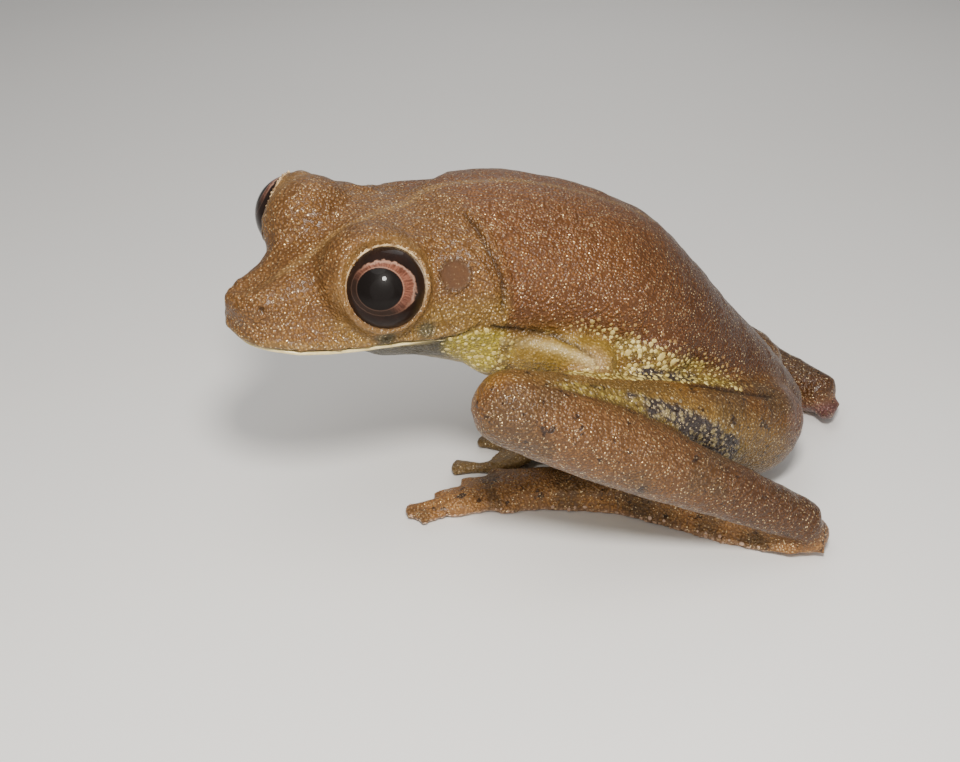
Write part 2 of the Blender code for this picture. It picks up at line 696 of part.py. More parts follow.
def arm_nodes(side, sign, neighbours):
    """Upper arm, forearm and hand, each meeting the next face to face."""
    upper_arm = limb("upper_arm_form", between(SHOULDER[side], ELBOW[side], UPPER_ARM_SHAPE), 8, 14)
    forearm = limb("forearm_form", between(ELBOW[side], WRIST[side], FOREARM_SHAPE), 10, 14)
    at = path_finder((WRIST[side], KNUCKLES[side], FINGER_TIP[side]))
    palm_length = (Vector(KNUCKLES[side]) - Vector(WRIST[side])).length + 1.0
    rows = [(*at(share * palm_length)[0], *sizes) for share, *sizes in PALM_SHAPE]
    hand = limb("hand_form", rows, 8, 12)
    fingers = [(palm_length + reach - 4.0, aside) for reach, aside in FINGERS[side]]
    combine(hand, digits(at, sign, palm_length * 0.8, fingers, FINGER_RADIUS, FINGER_DISC, 0.45), "UNION")
    parted(upper_arm, forearm, SHOULDER[side], ELBOW[side], WRIST[side])
    parted(forearm, hand, ELBOW[side], WRIST[side], KNUCKLES[side])
    clear_of(upper_arm, neighbours)
    clear_of(forearm, neighbours)
    for thing, name in ((upper_arm, "upper_arm_"), (forearm, "forearm_"), (hand, "hand_")):
        node(on_floor(thing), name + side)


def centred_on_floor():
    """Moves every node alike, so that the middle of the frog's box stands over the origin."""
    corners = [vertex.co for thing in FROG.objects for vertex in thing.data.vertices]
    lows = [min(corner[axis] for corner in corners) for axis in range(2)]
    highs = [max(corner[axis] for corner in corners) for axis in range(2)]
    middle = Vector(((lows[0] + highs[0]) / 2, (lows[1] + highs[1]) / 2, 0.0))
    for thing in FROG.objects:
        thing.data.transform(Matrix.Translation(-middle))


def build_frog():
    head, jaw, torso = head_nodes(whole_body())
    for side, sign in SIDES.items():
        thigh = leg_nodes(side, sign, torso)
        arm_nodes(side, sign, [torso, head, jaw, thigh])
    centred_on_floor()


clear_scene()
FROG = new_collection("tree_frog")
FORMS = new_collection("forms")
build_frog()
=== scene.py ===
"""A tree frog of the upper Orinoco at rest, life size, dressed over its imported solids."""

import math
import random

import bmesh
import bpy
import numpy as np
from mathutils import Matrix, Vector, noise
from mathutils.bvhtree import BVHTree


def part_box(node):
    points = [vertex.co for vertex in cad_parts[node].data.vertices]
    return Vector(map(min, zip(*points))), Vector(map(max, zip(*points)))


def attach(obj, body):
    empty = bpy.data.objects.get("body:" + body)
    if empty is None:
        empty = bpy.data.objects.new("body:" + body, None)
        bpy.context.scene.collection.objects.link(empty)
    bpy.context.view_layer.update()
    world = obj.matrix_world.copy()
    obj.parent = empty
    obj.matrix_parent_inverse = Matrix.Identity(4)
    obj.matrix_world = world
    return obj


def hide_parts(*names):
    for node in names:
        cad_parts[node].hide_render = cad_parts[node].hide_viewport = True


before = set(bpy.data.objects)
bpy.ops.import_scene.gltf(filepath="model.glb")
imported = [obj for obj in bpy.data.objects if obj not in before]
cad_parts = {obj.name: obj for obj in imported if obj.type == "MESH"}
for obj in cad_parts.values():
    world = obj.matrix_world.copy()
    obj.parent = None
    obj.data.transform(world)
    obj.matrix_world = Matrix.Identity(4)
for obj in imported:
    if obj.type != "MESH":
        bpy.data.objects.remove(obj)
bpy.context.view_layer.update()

# Eyes. Two glossy balls of 10.4 mm, each with a copper iris that is scalloped outside and
# wider above and behind, round a large black pupil. The drawing of the whole frog, in
# millimetres, is hung from them: the head is turned to its left and rolled a little.
MM = 0.001
HEAD_TURN = Matrix.Rotation(math.radians(12.4), 3, "X") @ Matrix.Rotation(math.radians(32.0), 3, "Z")
AHEAD = HEAD_TURN @ Vector((-1, 0, 0))
LEFTWARD = HEAD_TURN @ Vector((0, -1, 0))
HEAD_UP = HEAD_TURN @ Vector((0, 0, 1))
MID_EYES = Vector((-19.55, -10.35, 44.1))
EYE_SIDE = 9.6
EYE_HEIGHT = -1.0
EYE_RADIUS = 5.2
EYE_SIGNS = {"left": 1, "right": -1}
# Where iris and pupil face (forward, outward, up) and their half widths across and up, in millimetres
IRIS_FACES = {"left": (0.485, 0.667, 0.565), "right": (0.360, 0.840, 0.400)}
IRIS_SIZE = (4.0, 3.4)
PUPIL_FACES = {"left": (0.557, 0.615, 0.558), "right": (0.430, 0.800, 0.400)}
PUPIL_SIZE = (2.78, 2.56)
# Where the opening of each lid faces, and how far it stands before the middle of the ball
LID_FACES = {"left": (0.256, 0.820, 0.512), "right": (0.550, 0.820, 0.200)}
LID_AHEAD = {"left": 1.4, "right": 2.6}
LID_EDGE = {side: math.sqrt((EYE_RADIUS + 0.1) ** 2 - ahead**2) for side, ahead in LID_AHEAD.items()}
# Which way is across an eye's face (forward, outward, up): back and outward, almost level
EYE_ACROSS = (-0.768, 0.640, 0.030)
IRIS_COPPER = (0.115, 0.037, 0.020, 1.0)
IRIS_PINK = (0.240, 0.100, 0.066, 1.0)
IRIS_SHADE = (0.050, 0.018, 0.011, 1.0)
IRIS_EDGE = (0.380, 0.215, 0.150, 1.0)
# Painted shade on the iris's lower front side, as under the lid
IRIS_LOW_SHADE = (0.020, 0.011, 0.008, 1.0)
PUPIL_RING = (0.260, 0.150, 0.105, 1.0)
# Black of the pupil, also painted with a dark brown outside the iris as the shade under the lids
EYE_BLACK = (0.006, 0.0045, 0.004, 1.0)
EYE_SHADOW_BROWN = (0.022, 0.010, 0.007, 1.0)
# A pale crescent behind the iris, which is a painted reflection, and how far inside the lid's edge it runs
EYE_REFLECTION_PALE = (0.400, 0.360, 0.320, 1.0)
CRESCENT_INSIDE = 0.42


def in_head(forward, left, height):
    """The place in the drawing of a point given in the head's own frame."""
    return MID_EYES + AHEAD * forward + LEFTWARD * left + HEAD_UP * height


def middle_of(node):
    """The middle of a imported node's box, in millimetres."""
    low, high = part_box(node)
    return (low + high) / 2 / MM


DRAWING_MOVED = (middle_of("eye_left") + middle_of("eye_right")) / 2 - in_head(0.0, 0.0, EYE_HEIGHT)


def placed(point):
    """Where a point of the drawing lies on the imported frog, in metres."""
    return (Vector(point) + DRAWING_MOVED) * MM


def head_way(forward, outward, up, sign):
    """A direction given in the head's frame, mirrored for the right side."""
    return (AHEAD * forward + LEFTWARD * outward * sign + HEAD_UP * up).normalized()


class Wire:
    """One output of a finish's nodes. Sums on it add Math nodes."""

    def __init__(self, finish, socket):
        self.finish = finish
        self.socket = socket

    def __add__(self, other):
        return self.finish.maths("ADD", self, other)

    def __sub__(self, other):
        return self.finish.maths("SUBTRACT", self, other)

    def __rsub__(self, other):
        return self.finish.maths("SUBTRACT", other, self)

    def __mul__(self, other):
        return self.finish.maths("MULTIPLY", self, other)

    def __truediv__(self, other):
        return self.finish.maths("DIVIDE", self, other)

    def __pow__(self, other):
        return self.finish.maths("POWER", self, other)

    def clipped(self):
        """Kept between 0 and 1."""
        return self.finish.maths("ADD", self, 0.0, clamp=True)

    def sharpened(self, middle, width):
        """Rises from 0 to 1 around a middle value, over a width."""
        return ((self - (middle - width / 2)) / width).clipped()

    def peaked(self, middle, sharpness):
        """1 at a middle value, falling to 0 on both sides of it."""
        off = self - middle
        return 1.0 - (off * off * sharpness).clipped()

    __radd__ = __add__
    __rmul__ = __mul__


class Finish:
    """One material, built node by node around a Principled shader."""

    def __init__(self, name, **constants):
        self.material = bpy.data.materials.new(name)
        self.material.use_nodes = True
        self.tree = self.material.node_tree
        self.tree.nodes.clear()
        self.shader = self.tree.nodes.new("ShaderNodeBsdfPrincipled")
        output = self.tree.nodes.new("ShaderNodeOutputMaterial")
        self.tree.links.new(self.shader.outputs[0], output.inputs["Surface"])
        for socket, value in constants.items():
            self.shader.inputs[socket.replace("_", " ")].default_value = value

    def feed(self, socket, value):
        """Links a wire to a socket, or sets a plain value on it."""
        if isinstance(value, Wire):
            self.tree.links.new(value.socket, socket)
        else:
            socket.default_value = value

    def node(self, kind, settings, sockets, output=None):
        """Adds a node with its settings, then its sockets' values or links, and gives one output."""
        made = self.tree.nodes.new(kind)
        for name, value in settings.items():
            setattr(made, name, value)
        for name, value in sockets.items():
            found = [socket for socket in made.inputs if name in (socket.identifier, socket.name)]
            self.feed(found[0], value)
        outputs = [socket for socket in made.outputs if output in (None, socket.identifier, socket.name)]
        return Wire(self, outputs[0])

    def maths(self, operation, first, second, clamp=False):
        """One sum on two wires or plain numbers."""
        settings = {"operation": operation, "use_clamp": clamp}
        return self.node("ShaderNodeMath", settings, {"Value": first, "Value_001": second})

    def blend(self, mask, first, second, way="MIX"):
        """One colour over another where the mask is 1."""
        settings = {"data_type": "RGBA", "blend_type": way}
        sockets = {"Factor_Float": mask, "A_Color": first, "B_Color": second}
        return self.node("ShaderNodeMix", settings, sockets, "Result_Color")

    def grain(self, size, detail=2.0, roughness=0.5):
        """Noise whose lumps are about so many millimetres across."""
        sockets = {"Scale": 1.0 / (size * MM), "Detail": detail, "Roughness": roughness}
        sockets["Vector"] = self.node("ShaderNodeTexCoord", {}, {}, "Object")
        return self.node("ShaderNodeTexNoise", {}, sockets, "Fac")

    def cells(self, size, offset=0.0):
        """Distance from the middle of round cells about so many millimetres across."""
        here = self.node("ShaderNodeTexCoord", {}, {}, "Object")
        if offset:
            here = self.node("ShaderNodeMapping", {}, {"Vector": here, "Location": (offset * MM,) * 3})
        sockets = {"Vector": here, "Scale": 1.0 / (size * MM)}
        return self.node("ShaderNodeTexVoronoi", {"feature": "F1"}, sockets, "Distance")

    def mask(self, name):
        """The value that the mesh's attribute of that name has at each point."""
        return self.node("ShaderNodeAttribute", {"attribute_name": name}, {}, "Fac")

    def wear(self, **wires):
        """Feeds sockets of the shader, whose names are written with underscores."""
        for socket, wire in wires.items():
            self.feed(self.shader.inputs[socket.replace("_", " ")], wire)


def shown(mesh_or_shape, name, finish):
    """Makes a finished piece of a bmesh or mesh, which rides with the frog."""
    mesh = mesh_or_shape
    if isinstance(mesh, bmesh.types.BMesh):
        mesh = bpy.data.meshes.new(name)
        mesh_or_shape.to_mesh(mesh)
        mesh_or_shape.free()
    mesh.shade_smooth()
    piece = bpy.data.objects.new(name, mesh)
    bpy.context.scene.collection.objects.link(piece)
    piece.data.materials.clear()
    piece.data.materials.append(finish.material)
    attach(piece, "root")
    return piece


def facing_coordinates(finish, side, faces):
    """Millimetres across, up and outwards from an eye's middle, seen along the way it faces."""
    outwards = head_way(*faces, EYE_SIGNS[side])
    across = head_way(*EYE_ACROSS, EYE_SIGNS[side])
    across = (across - outwards * across.dot(outwards)).normalized()
    rise = outwards.cross(across) * (1 if outwards.cross(across).dot(HEAD_UP) > 0 else -1)
    turn = Matrix((across, rise, outwards))
    if turn.determinant() < 0:
        turn = Matrix((-across, rise, outwards))
    middle = placed(in_head(0.0, EYE_SIDE * EYE_SIGNS[side], EYE_HEIGHT)) / MM
    sockets = {
        "Vector": finish.node("ShaderNodeTexCoord", {}, {}, "Object"),
        "Location": -(turn @ middle),
        "Rotation": turn.to_euler(),
        "Scale": (1 / MM,) * 3,
    }
    local = finish.node("ShaderNodeMapping", {"vector_type": "POINT"}, sockets)
    axes = [finish.node("ShaderNodeSeparateXYZ", {}, {"Vector": local}, axis) for axis in "XYZ"]
    return [axes[0] * float(EYE_SIGNS[side]), axes[1], axes[2]], local


def eye_finish(side):
    """Painted black shade round a copper iris with a pink upper edge, a black pupil, a painted reflection,
    and a wet coat.
    """
    wet = {"Roughness": 0.4, "Specular_IOR_Level": 0.05, "Coat_Roughness": 0.01, "Coat_IOR": 1.17}
    finish = Finish("eye_" + side + "_wet", **wet)
    (across, rise, out), local = facing_coordinates(finish, side, IRIS_FACES[side])
    (pupil_across, pupil_rise, pupil_out), _ = facing_coordinates(finish, side, PUPIL_FACES[side])
    iris = ((across / IRIS_SIZE[0]) ** 2 + (rise / IRIS_SIZE[1]) ** 2) ** 0.5
    pupil = ((pupil_across / PUPIL_SIZE[0]) ** 2 + (pupil_rise / PUPIL_SIZE[1]) ** 2) ** 0.5
    front = out.sharpened(0.5, 0.2)
    scallops = finish.node("ShaderNodeTexNoise", {}, {"Vector": local, "Scale": 1.5, "Detail": 2.0})
    angle = finish.maths("ARCTAN2", rise, across)
    fibres_at = finish.node("ShaderNodeCombineXYZ", {}, {"X": angle * 14.0, "Y": iris * 3.0, "Z": 0.0})
    fibres = finish.node("ShaderNodeTexNoise", {}, {"Vector": fibres_at, "Scale": 1.0, "Detail": 3.0})
    flecks = finish.node("ShaderNodeTexNoise", {}, {"Vector": local, "Scale": 6.0, "Detail": 3.0})
    above = finish.maths("MULTIPLY", rise / IRIS_SIZE[1] + across / IRIS_SIZE[0], 0.5)
    high = above.sharpened(0.05, 0.5)
    edge = iris + (scallops - 0.5) * (0.05 + high * 0.16) + (fibres - 0.5) * 0.04
    in_iris = (1.0 - edge.sharpened(0.985, 0.05)) * front
    colour = finish.blend((flecks * 0.9 + fibres * 0.9 - 0.45).clipped(), IRIS_COPPER, IRIS_PINK)
    colour = finish.blend((1.0 - fibres.sharpened(0.45, 0.22)) * 0.7, colour, IRIS_SHADE)
    colour = finish.blend(edge.sharpened(0.92, 0.08) * high * 0.8, colour, IRIS_EDGE)
    # Painted shade: the iris darkens towards its lower front side, under the lid
    colour = finish.blend(1.0 - above.sharpened(-0.05, 0.5), colour, IRIS_LOW_SHADE)
    ring = pupil.peaked(1.02, 1400.0) * (0.15 + high * 0.6)
    colour = finish.blend(ring, colour, PUPIL_RING)
    low_ring = edge.peaked(0.96, 2600.0) * (1.0 - above.sharpened(0.0, 0.4)) * 0.14
    colour = finish.blend(low_ring, colour, PUPIL_RING)
    # Outside the iris the ball is painted near black, as the shade under the lids and round the iris
    outside = finish.blend(finish.grain(1.2), EYE_BLACK, EYE_SHADOW_BROWN)
    (lid_across, lid_rise, _), _ = facing_coordinates(finish, side, LID_FACES[side])
    from_lid = (lid_across * lid_across + lid_rise * lid_rise) ** 0.5
    # A pale crescent by the lid's edge behind the iris: a painted reflection
    painted_reflection = from_lid.peaked(LID_EDGE[side] - CRESCENT_INSIDE, 22.0) * lid_across.sharpened(3.6, 1.2)
    outside = finish.blend(painted_reflection * lid_rise.sharpened(-0.6, 2.0), outside, EYE_REFLECTION_PALE)
    colour = finish.blend(in_iris, outside, colour)
    in_pupil = (1.0 - pupil.sharpened(0.985, 0.03)) * pupil_out.sharpened(0.5, 0.2)
    colour = finish.blend(in_pupil, colour, EYE_BLACK)
    height = fibres * in_iris * (1.0 - in_pupil)
    relief = finish.node("ShaderNodeBump", {}, {"Strength": 0.4, "Distance": 0.06 * MM, "Height": height})
    shaded = 1.0 - lid_rise.sharpened(-2.2, 1.6)
    finish.wear(Base_Color=colour, Normal=relief, Coat_Weight=1.0 - shaded * 0.7)
    return finish


for side, sign in EYE_SIGNS.items():
    ball = bmesh.new()
    middle = placed(in_head(0.0, EYE_SIDE * sign, EYE_HEIGHT))
    turn = head_way(*IRIS_FACES[side], sign).to_track_quat("Z", "Y").to_matrix().to_4x4()
    stand = Matrix.Translation(middle) @ turn
    bmesh.ops.create_uvsphere(ball, u_segments=72, v_segments=48, radius=EYE_RADIUS * MM, matrix=stand)
    eye = shown(ball, "eyeball_" + side, eye_finish(side))
    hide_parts("eye_" + side)

# Skin. One soft hide without a seam, from the lips to the toes. Copies of the flesh solids are
# swollen until their gaps close, melted into one form, and then eased where the body is smooth.
FLESH = sorted(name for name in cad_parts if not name.startswith("eye"))
FLESH_SWELL = 0.2
SHARPEST_SWELL = 1.6
SKIN_VOXEL = 0.61
SOCKET_FILL = 0.3
HEAD_BACK = -15.0
# Slack flesh that fills a hollow, by its middle and radii: behind the left elbow, and at the left heel
FILLS = (
    ((19.0, -11.2, 26.5), (9.0, 4.6, 5.4)),
    ((42.0, -24.6, 2.9), (3.2, 2.6, 2.7)),
)


def stood(place):
    """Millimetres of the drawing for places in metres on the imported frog."""
    return place / MM - np.array(DRAWING_MOVED)


def flesh_form():
    """The flesh solids, swollen into each other, with the eye sockets filled."""
    flesh = bmesh.new()
    for name in FLESH:
        part = bmesh.new()
        part.from_mesh(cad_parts[name].data)
        bmesh.ops.remove_doubles(part, verts=part.verts, dist=0.001 * MM)
        part.normal_update()
        swell = FLESH_SWELL * MM
        places = [
            vertex.co + vertex.normal * min(vertex.calc_shell_factor(), SHARPEST_SWELL) * swell
            for vertex in part.verts
        ]
        for vertex, place in zip(part.verts, places):
            vertex.co = place
        copy = bpy.data.meshes.new(name + "_flesh")
        part.to_mesh(copy)
        part.free()
        flesh.from_mesh(copy)
        bpy.data.meshes.remove(copy)
    for sign in EYE_SIGNS.values():
        middle = placed(in_head(0.0, EYE_SIDE * sign, EYE_HEIGHT))
        radius = (EYE_RADIUS + SOCKET_FILL) * MM
        bmesh.ops.create_icosphere(flesh, subdivisions=4, radius=radius, matrix=Matrix.Translation(middle))
    for place, radii in FILLS:
        stand = Matrix.Translation(placed(place)) @ Matrix.Diagonal((*radii, 1.0))
        bmesh.ops.create_icosphere(flesh, subdivisions=4, radius=MM, matrix=stand)
    return flesh


def melted(form, voxel):
    """The form as one even mesh, of which the largest closed surface is kept."""
    mesh = bpy.data.meshes.new("flesh")
    form.to_mesh(mesh)
    form.free()
    thing = bpy.data.objects.new("flesh", mesh)
    bpy.context.scene.collection.objects.link(thing)
    remesh = thing.modifiers.new("Melt", "REMESH")
    remesh.mode = "VOXEL"
    remesh.voxel_size = voxel * MM
    graph = bpy.context.evaluated_depsgraph_get()
    shape = bmesh.new()
    shape.from_mesh(thing.evaluated_get(graph).data)
    bpy.data.objects.remove(thing, do_unlink=True)
    unseen = set(shape.verts)
    largest = set()
    while len(unseen) > len(largest):
        island = set()
        front = [unseen.pop()]
        while front:
            vertex = front.pop()
            island.add(vertex)
            fresh = {edge.other_vert(vertex) for edge in vertex.link_edges} & unseen
            unseen -= fresh
            front.extend(fresh)
        if len(island) > len(largest):
            largest = island
    strays = [vertex for vertex in shape.verts if vertex not in largest]
    bmesh.ops.delete(shape, geom=strays, context="VERTS")
    return shape


hide = melted(flesh_form(), SKIN_VOXEL)
neck = placed(in_head(HEAD_BACK, 0.0, 0.0))
head_edges = [
    edge for edge in hide.edges if all((vertex.co - neck).dot(AHEAD) > 0 for vertex in edge.verts)
]
bmesh.ops.subdivide_edges(hide, edges=head_edges, cuts=1, use_grid_fill=True)
bmesh.ops.triangulate(hide, faces=hide.faces)
hide_mesh = bpy.data.meshes.new("skin")
hide.to_mesh(hide_mesh)
hide.free()

POINTS = np.empty(len(hide_mesh.vertices) * 3)
hide_mesh.vertices.foreach_get("co", POINTS)
POINTS = stood(POINTS.reshape(-1, 3))
EDGES = np.empty(len(hide_mesh.edges) * 2, int)
hide_mesh.edges.foreach_get("vertices", EDGES)
EDGES = EDGES.reshape(-1, 2)
FACES = np.empty(len(hide_mesh.polygons) * 3, int)
hide_mesh.polygons.foreach_get("vertices", FACES)
FACES = FACES.reshape(-1, 3)
NEIGHBOURS = np.bincount(EDGES.ravel(), minlength=len(POINTS))


def around(values):
    """The mean over each point's neighbours."""
    sums = [
        np.bincount(EDGES[:, 0], column[EDGES[:, 1]], len(POINTS))
        + np.bincount(EDGES[:, 1], column[EDGES[:, 0]], len(POINTS))
        for column in values.reshape(len(POINTS), -1).T
    ]
    return (np.array(sums) / NEIGHBOURS).T.reshape(values.shape)


def normals(points):
    """The way that the hide faces at each point."""
    a, b, c = (points[FACES[:, corner]] for corner in range(3))
    across = np.cross(b - a, c - a)
    total = np.zeros_like(points)
    for corner in range(3):
        for axis in range(3):
            total[:, axis] += np.bincount(FACES[:, corner], across[:, axis], len(points))
    return total / np.linalg.norm(total, axis=1)[:, None]


def ramp(values, start, end):
    """Rises smoothly from 0 at the start to 1 at the end."""
    t = np.clip((values - start) / (end - start), 0, 1)
    return t * t * (3 - 2 * t)


def head_places(points):
    """Forward, left and height of points in the head's frame."""
    return (points - np.array(MID_EYES)) @ np.array([AHEAD, LEFTWARD, HEAD_UP]).T


def drawn(node):
    """A node's corners in the drawing's millimetres, and its faces."""
    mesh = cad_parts[node].data
    corners = [vertex.co / MM - DRAWING_MOVED for vertex in mesh.vertices]
    return corners, [tuple(face.vertices) for face in mesh.polygons]


node_faces = []
node_points = []
face_owner = []
for number, name in enumerate(FLESH):
    corners, faces = drawn(name)
    node_faces += [tuple(len(node_points) + index for index in face) for face in faces]
    node_points += corners
    face_owner += [number] * len(faces)
solids = BVHTree.FromPolygons(node_points, node_faces)
OWNER = np.array([face_owner[solids.find_nearest(Vector(point))[2]] for point in POINTS])


def belongs(*starts, ease=6):
    """1 on the skin over the solids whose names start so, easing off at their ends."""
    chosen = [number for number, name in enumerate(FLESH) if name.startswith(starts)]
    share = np.isin(OWNER, chosen).astype(float)
    for _ in range(ease):
        share = around(share)
    return share


HEAD_EASE = 0.3
DIGIT_EASE = 0.35
DIGIT_TOP = 4.2
EASE_ROUNDS = 26
EASE_PUSHES = (0.5, -0.52)
in_the_head = ramp(head_places(POINTS)[:, 0], HEAD_BACK + 1, HEAD_BACK + 4)
digits = (1 - ramp(POINTS[:, 2], DIGIT_TOP, DIGIT_TOP + 2)) * belongs("hand", "foot", "tarsus")
ease = (1 - in_the_head * (1 - HEAD_EASE)) * (1 - digits * (1 - DIGIT_EASE))
for _ in range(EASE_ROUNDS):
    for push in EASE_PUSHES:
        POINTS = POINTS + (around(POINTS) - POINTS) * (push * ease)[:, None]

# Where the hide lies closer than the solids: a middle, its inner and outer reach, and the shift
SETTLED = (
    (in_head(5.7, -10.0, -2.5), 1.5, 4.0, AHEAD * -0.7 + LEFTWARD * 0.7),
    (in_head(11.3, -2.8, -0.8), 2.2, 4.8, HEAD_UP * -0.9),
    (in_head(15.3, -3.9, -6.1), 1.2, 3.2, AHEAD * -0.4 + LEFTWARD * 0.2),
    (Vector((-12.5, 5.0, 47.0)), 5.0, 9.0, Vector((0.0, 0.0, -1.75))),
    (Vector((14.0, 4.0, 45.0)), 5.0, 13.0, Vector((0.0, 0.0, -0.5))),
    (Vector((13.4, -17.4, 30.8)), 0.6, 3.2, Vector((-0.5, 1.1, -0.4))),
    (Vector((55.0, 12.5, 8.5)), 5.0, 12.0, Vector((0.0, 0.0, -1.2))),
)
for place, inner, outer, shift in SETTLED:
    share = 1 - ramp(np.linalg.norm(POINTS - np.array(place), axis=1), inner, outer)
    POINTS = POINTS + share[:, None] * np.array(shift)

# Lids and brows. Each eye stands out of a thick round lid that is open in front. The hide slopes
# up to the opening's edge on all sides, and within the opening it lies behind the ball.
LID_SLOPE = 0.5
LID_WIDTH = 3.2
BROW_FACES = (0.1, -0.25, 0.96)
BROW_THICKNESS = {"left": 1.1, "right": 0.5}
EYE_HOLLOW = 0.8
EDGE_CATCH = 0.32
LEAST_HIDE = 0.12
lids = np.zeros(len(POINTS))
for side, sign in EYE_SIGNS.items():
    middle = np.array(in_head(0.0, EYE_SIDE * sign, EYE_HEIGHT))
    faces = np.array(head_way(*LID_FACES[side], sign))
    lid_ahead = LID_AHEAD[side]
    lid_edge = LID_EDGE[side]
    reach = np.linalg.norm(POINTS - middle, axis=1)
    near = reach < EYE_RADIUS + LID_WIDTH
    ahead = (POINTS - middle) @ faces
    aside = POINTS - middle - ahead[:, None] * faces
    width = np.linalg.norm(aside, axis=1)
    hollow = near & (ahead > lid_ahead - 0.1) & (width < lid_edge + 0.05)
    highest = lid_ahead + 0.05 + LID_SLOPE * np.maximum(width - lid_edge, 0)
    over = near & ~hollow & (ahead > highest)
    POINTS[over] -= faces * (ahead - highest)[over, None]
    POINTS[hollow] = middle + (POINTS - middle)[hollow] / reach[hollow, None] * (EYE_RADIUS - EYE_HOLLOW)
    off_edge = np.hypot(width - lid_edge, np.minimum(ahead, highest) - lid_ahead)
    edge = near & ~hollow & (off_edge < EDGE_CATCH)
    POINTS[edge] = middle + faces * lid_ahead + aside[edge] / width[edge, None] * lid_edge
    smooth_lid = near & ~hollow & ~edge & (ahead > -1.0)
    for _ in range(5):
        POINTS[smooth_lid] += 0.5 * (around(POINTS) - POINTS)[smooth_lid]
    reach = np.linalg.norm(POINTS - middle, axis=1)
    least = EYE_RADIUS + LEAST_HIDE + 0.2 * ramp(lid_ahead - ahead, 0.0, 1.5)
    inwards = (POINTS - middle) @ np.array(head_way(*BROW_FACES, sign)) / reach
    brow = BROW_THICKNESS[side] * ramp(inwards, 0.62, 0.9) * ramp(lid_ahead - 0.4 - ahead, 0.0, 1.6)
    least = least + brow
    sunk = near & ~hollow & ~edge & (reach < least)
    POINTS[sunk] = middle + (POINTS - middle)[sunk] * (least / reach)[sunk, None]
    reach = np.linalg.norm(POINTS - middle, axis=1)
    lids = np.maximum(lids, 1 - ramp(reach, EYE_RADIUS + 0.7, EYE_RADIUS + 2.2))

hide_tree = BVHTree.FromPolygons([Vector(point) for point in POINTS], FACES.tolist())
LAID_STEPS = 8


def laid(line):
    """A line through a few places, smoothed and laid on the hide."""
    line = np.array([list(place) for place in line])
    padded = np.concatenate([[2 * line[0] - line[1]], line, [2 * line[-1] - line[-2]]])
    fine = []
    for before, start, end, after in zip(padded, padded[1:], padded[2:], padded[3:]):
        for t in np.arange(LAID_STEPS) / LAID_STEPS:
            fine.append(
                start
                + (end - before) * 0.5 * t
                + (2 * before - 5 * start + 4 * end - after) * 0.5 * t**2
                + (3 * start - before - 3 * end + after) * 0.5 * t**3
            )
    fine.append(line[-1])
    return np.array([hide_tree.find_nearest(Vector(place))[0] for place in fine])


def beside(line):
    """Each point's distance from a line, its share of the way along it, and its height over it."""
    nearest = np.full(len(POINTS), 1e9)
    share = np.zeros(len(POINTS))
    over = np.zeros(len(POINTS))
    count = len(line) - 1
    for number, (start, end) in enumerate(zip(line, line[1:])):
        span = end - start
        t = np.clip((POINTS - start) @ span / max(float(span @ span), 1e-9), 0, 1)
        off = POINTS - start - t[:, None] * span
        away = np.linalg.norm(off, axis=1)
        closer = away < nearest
        nearest[closer] = away[closer]
        share[closer] = (number + t[closer]) / count
        over[closer] = (off @ np.array(HEAD_UP))[closer]
    return nearest, share, over


def band(line, width, ends=0.15):
    """1 along a line on the hide, easing off to its sides and ends."""
    away, share, _ = beside(laid(line))
    tips = ramp(share, 0.0, ends) * (1 - ramp(share, 1 - ends, 1.0)) if ends else 1.0
    return np.exp(-((away / width) ** 2)) * tips


# Folds. The hide folds where the frog bends: behind the head, over the eardrum, in the groin and
# between the lengths of a leg. The mouth is a long thin line under an upper lip that stands out.
NECK_FOLD = (
    (-4.3, -8.8, 47.4),
    (-2.7, -11.2, 46.3),
    (-1.8, -12.9, 45.0),
    (-0.7, -14.7, 43.0),
    (0.3, -16.0, 40.7),
    (0.5, -16.6, 38.0),
    (0.0, -17.0, 34.5),
)
FOLD_SWELLING_AT = Vector((0.75, 0.1, 0.1))
GROIN_FOLD = (
    (24.0, -17.0, 24.0), (27.9, -15.3, 22.3), (33.5, -13.8, 19.9), (38.6, -12.1, 17.9), (41.0, -11.0, 16.8),
)
ARM_CREASE = (
    (-1.4, -17.4, 34.9), (0.1, -17.3, 34.2), (2.8, -16.9, 33.4), (6.1, -16.5, 32.5),
    (8.6, -17.2, 31.9), (11.0, -18.6, 31.0), (12.8, -19.2, 30.0),
)
ARM_TOP = (
    (0.0, -16.7, 31.9), (2.9, -16.6, 31.6), (6.0, -17.1, 31.0),
    (8.5, -17.9, 30.4), (11.0, -18.9, 29.6), (12.3, -19.5, 28.8),
)
JAW_LOBE = (0.1, -17.2, 35.0)
JAW_LOBE_SIZE = 0.9
# Forward and height of the mouth's line in the head's frame
MOUTH = (
    (17.0, -7.0), (15.6, -6.9), (13.6, -7.0), (10.4, -7.4), (5.2, -8.1), (0.0, -8.5),
    (-3.0, -8.9), (-5.5, -9.1), (-7.2, -8.8), (-8.6, -8.1), (-10.0, -7.2), (-11.2, -6.3),
)
EAR_FOLD = ((-5.2, 1.6), (-8.2, 2.0), (-10.8, 0.9), (-11.9, -1.4), (-11.6, -4.4))
EARDRUM = (-8.7, -1.4)
EARDRUM_RADIUS = 1.9
CANTHUS = ((4.6, 7.6, 3.0), (7.0, 5.6, 1.6), (10.0, 4.6, 0.2), (12.6, 4.0, -0.8))
NOSTRIL = (13.6, 3.4, -2.0)
NOSTRIL_SIZE = 0.36
SNOUT_FRONT = 16.0
OUTSIDE = 20.0
HEAD_HALF_WIDTH = 12.0


def on_side(forward, height, sign):
    """The place on the side of the hide at that length and height of the head."""
    start = in_head(forward, OUTSIDE * sign, height)
    aim = LEFTWARD * -sign
    if forward >= SNOUT_FRONT:
        start = in_head(OUTSIDE, 0.0, height)
        aim = -AHEAD
    hit = hide_tree.ray_cast(start, aim)[0]
    return hit or hide_tree.find_nearest(in_head(forward, HEAD_HALF_WIDTH * sign, height))[0]
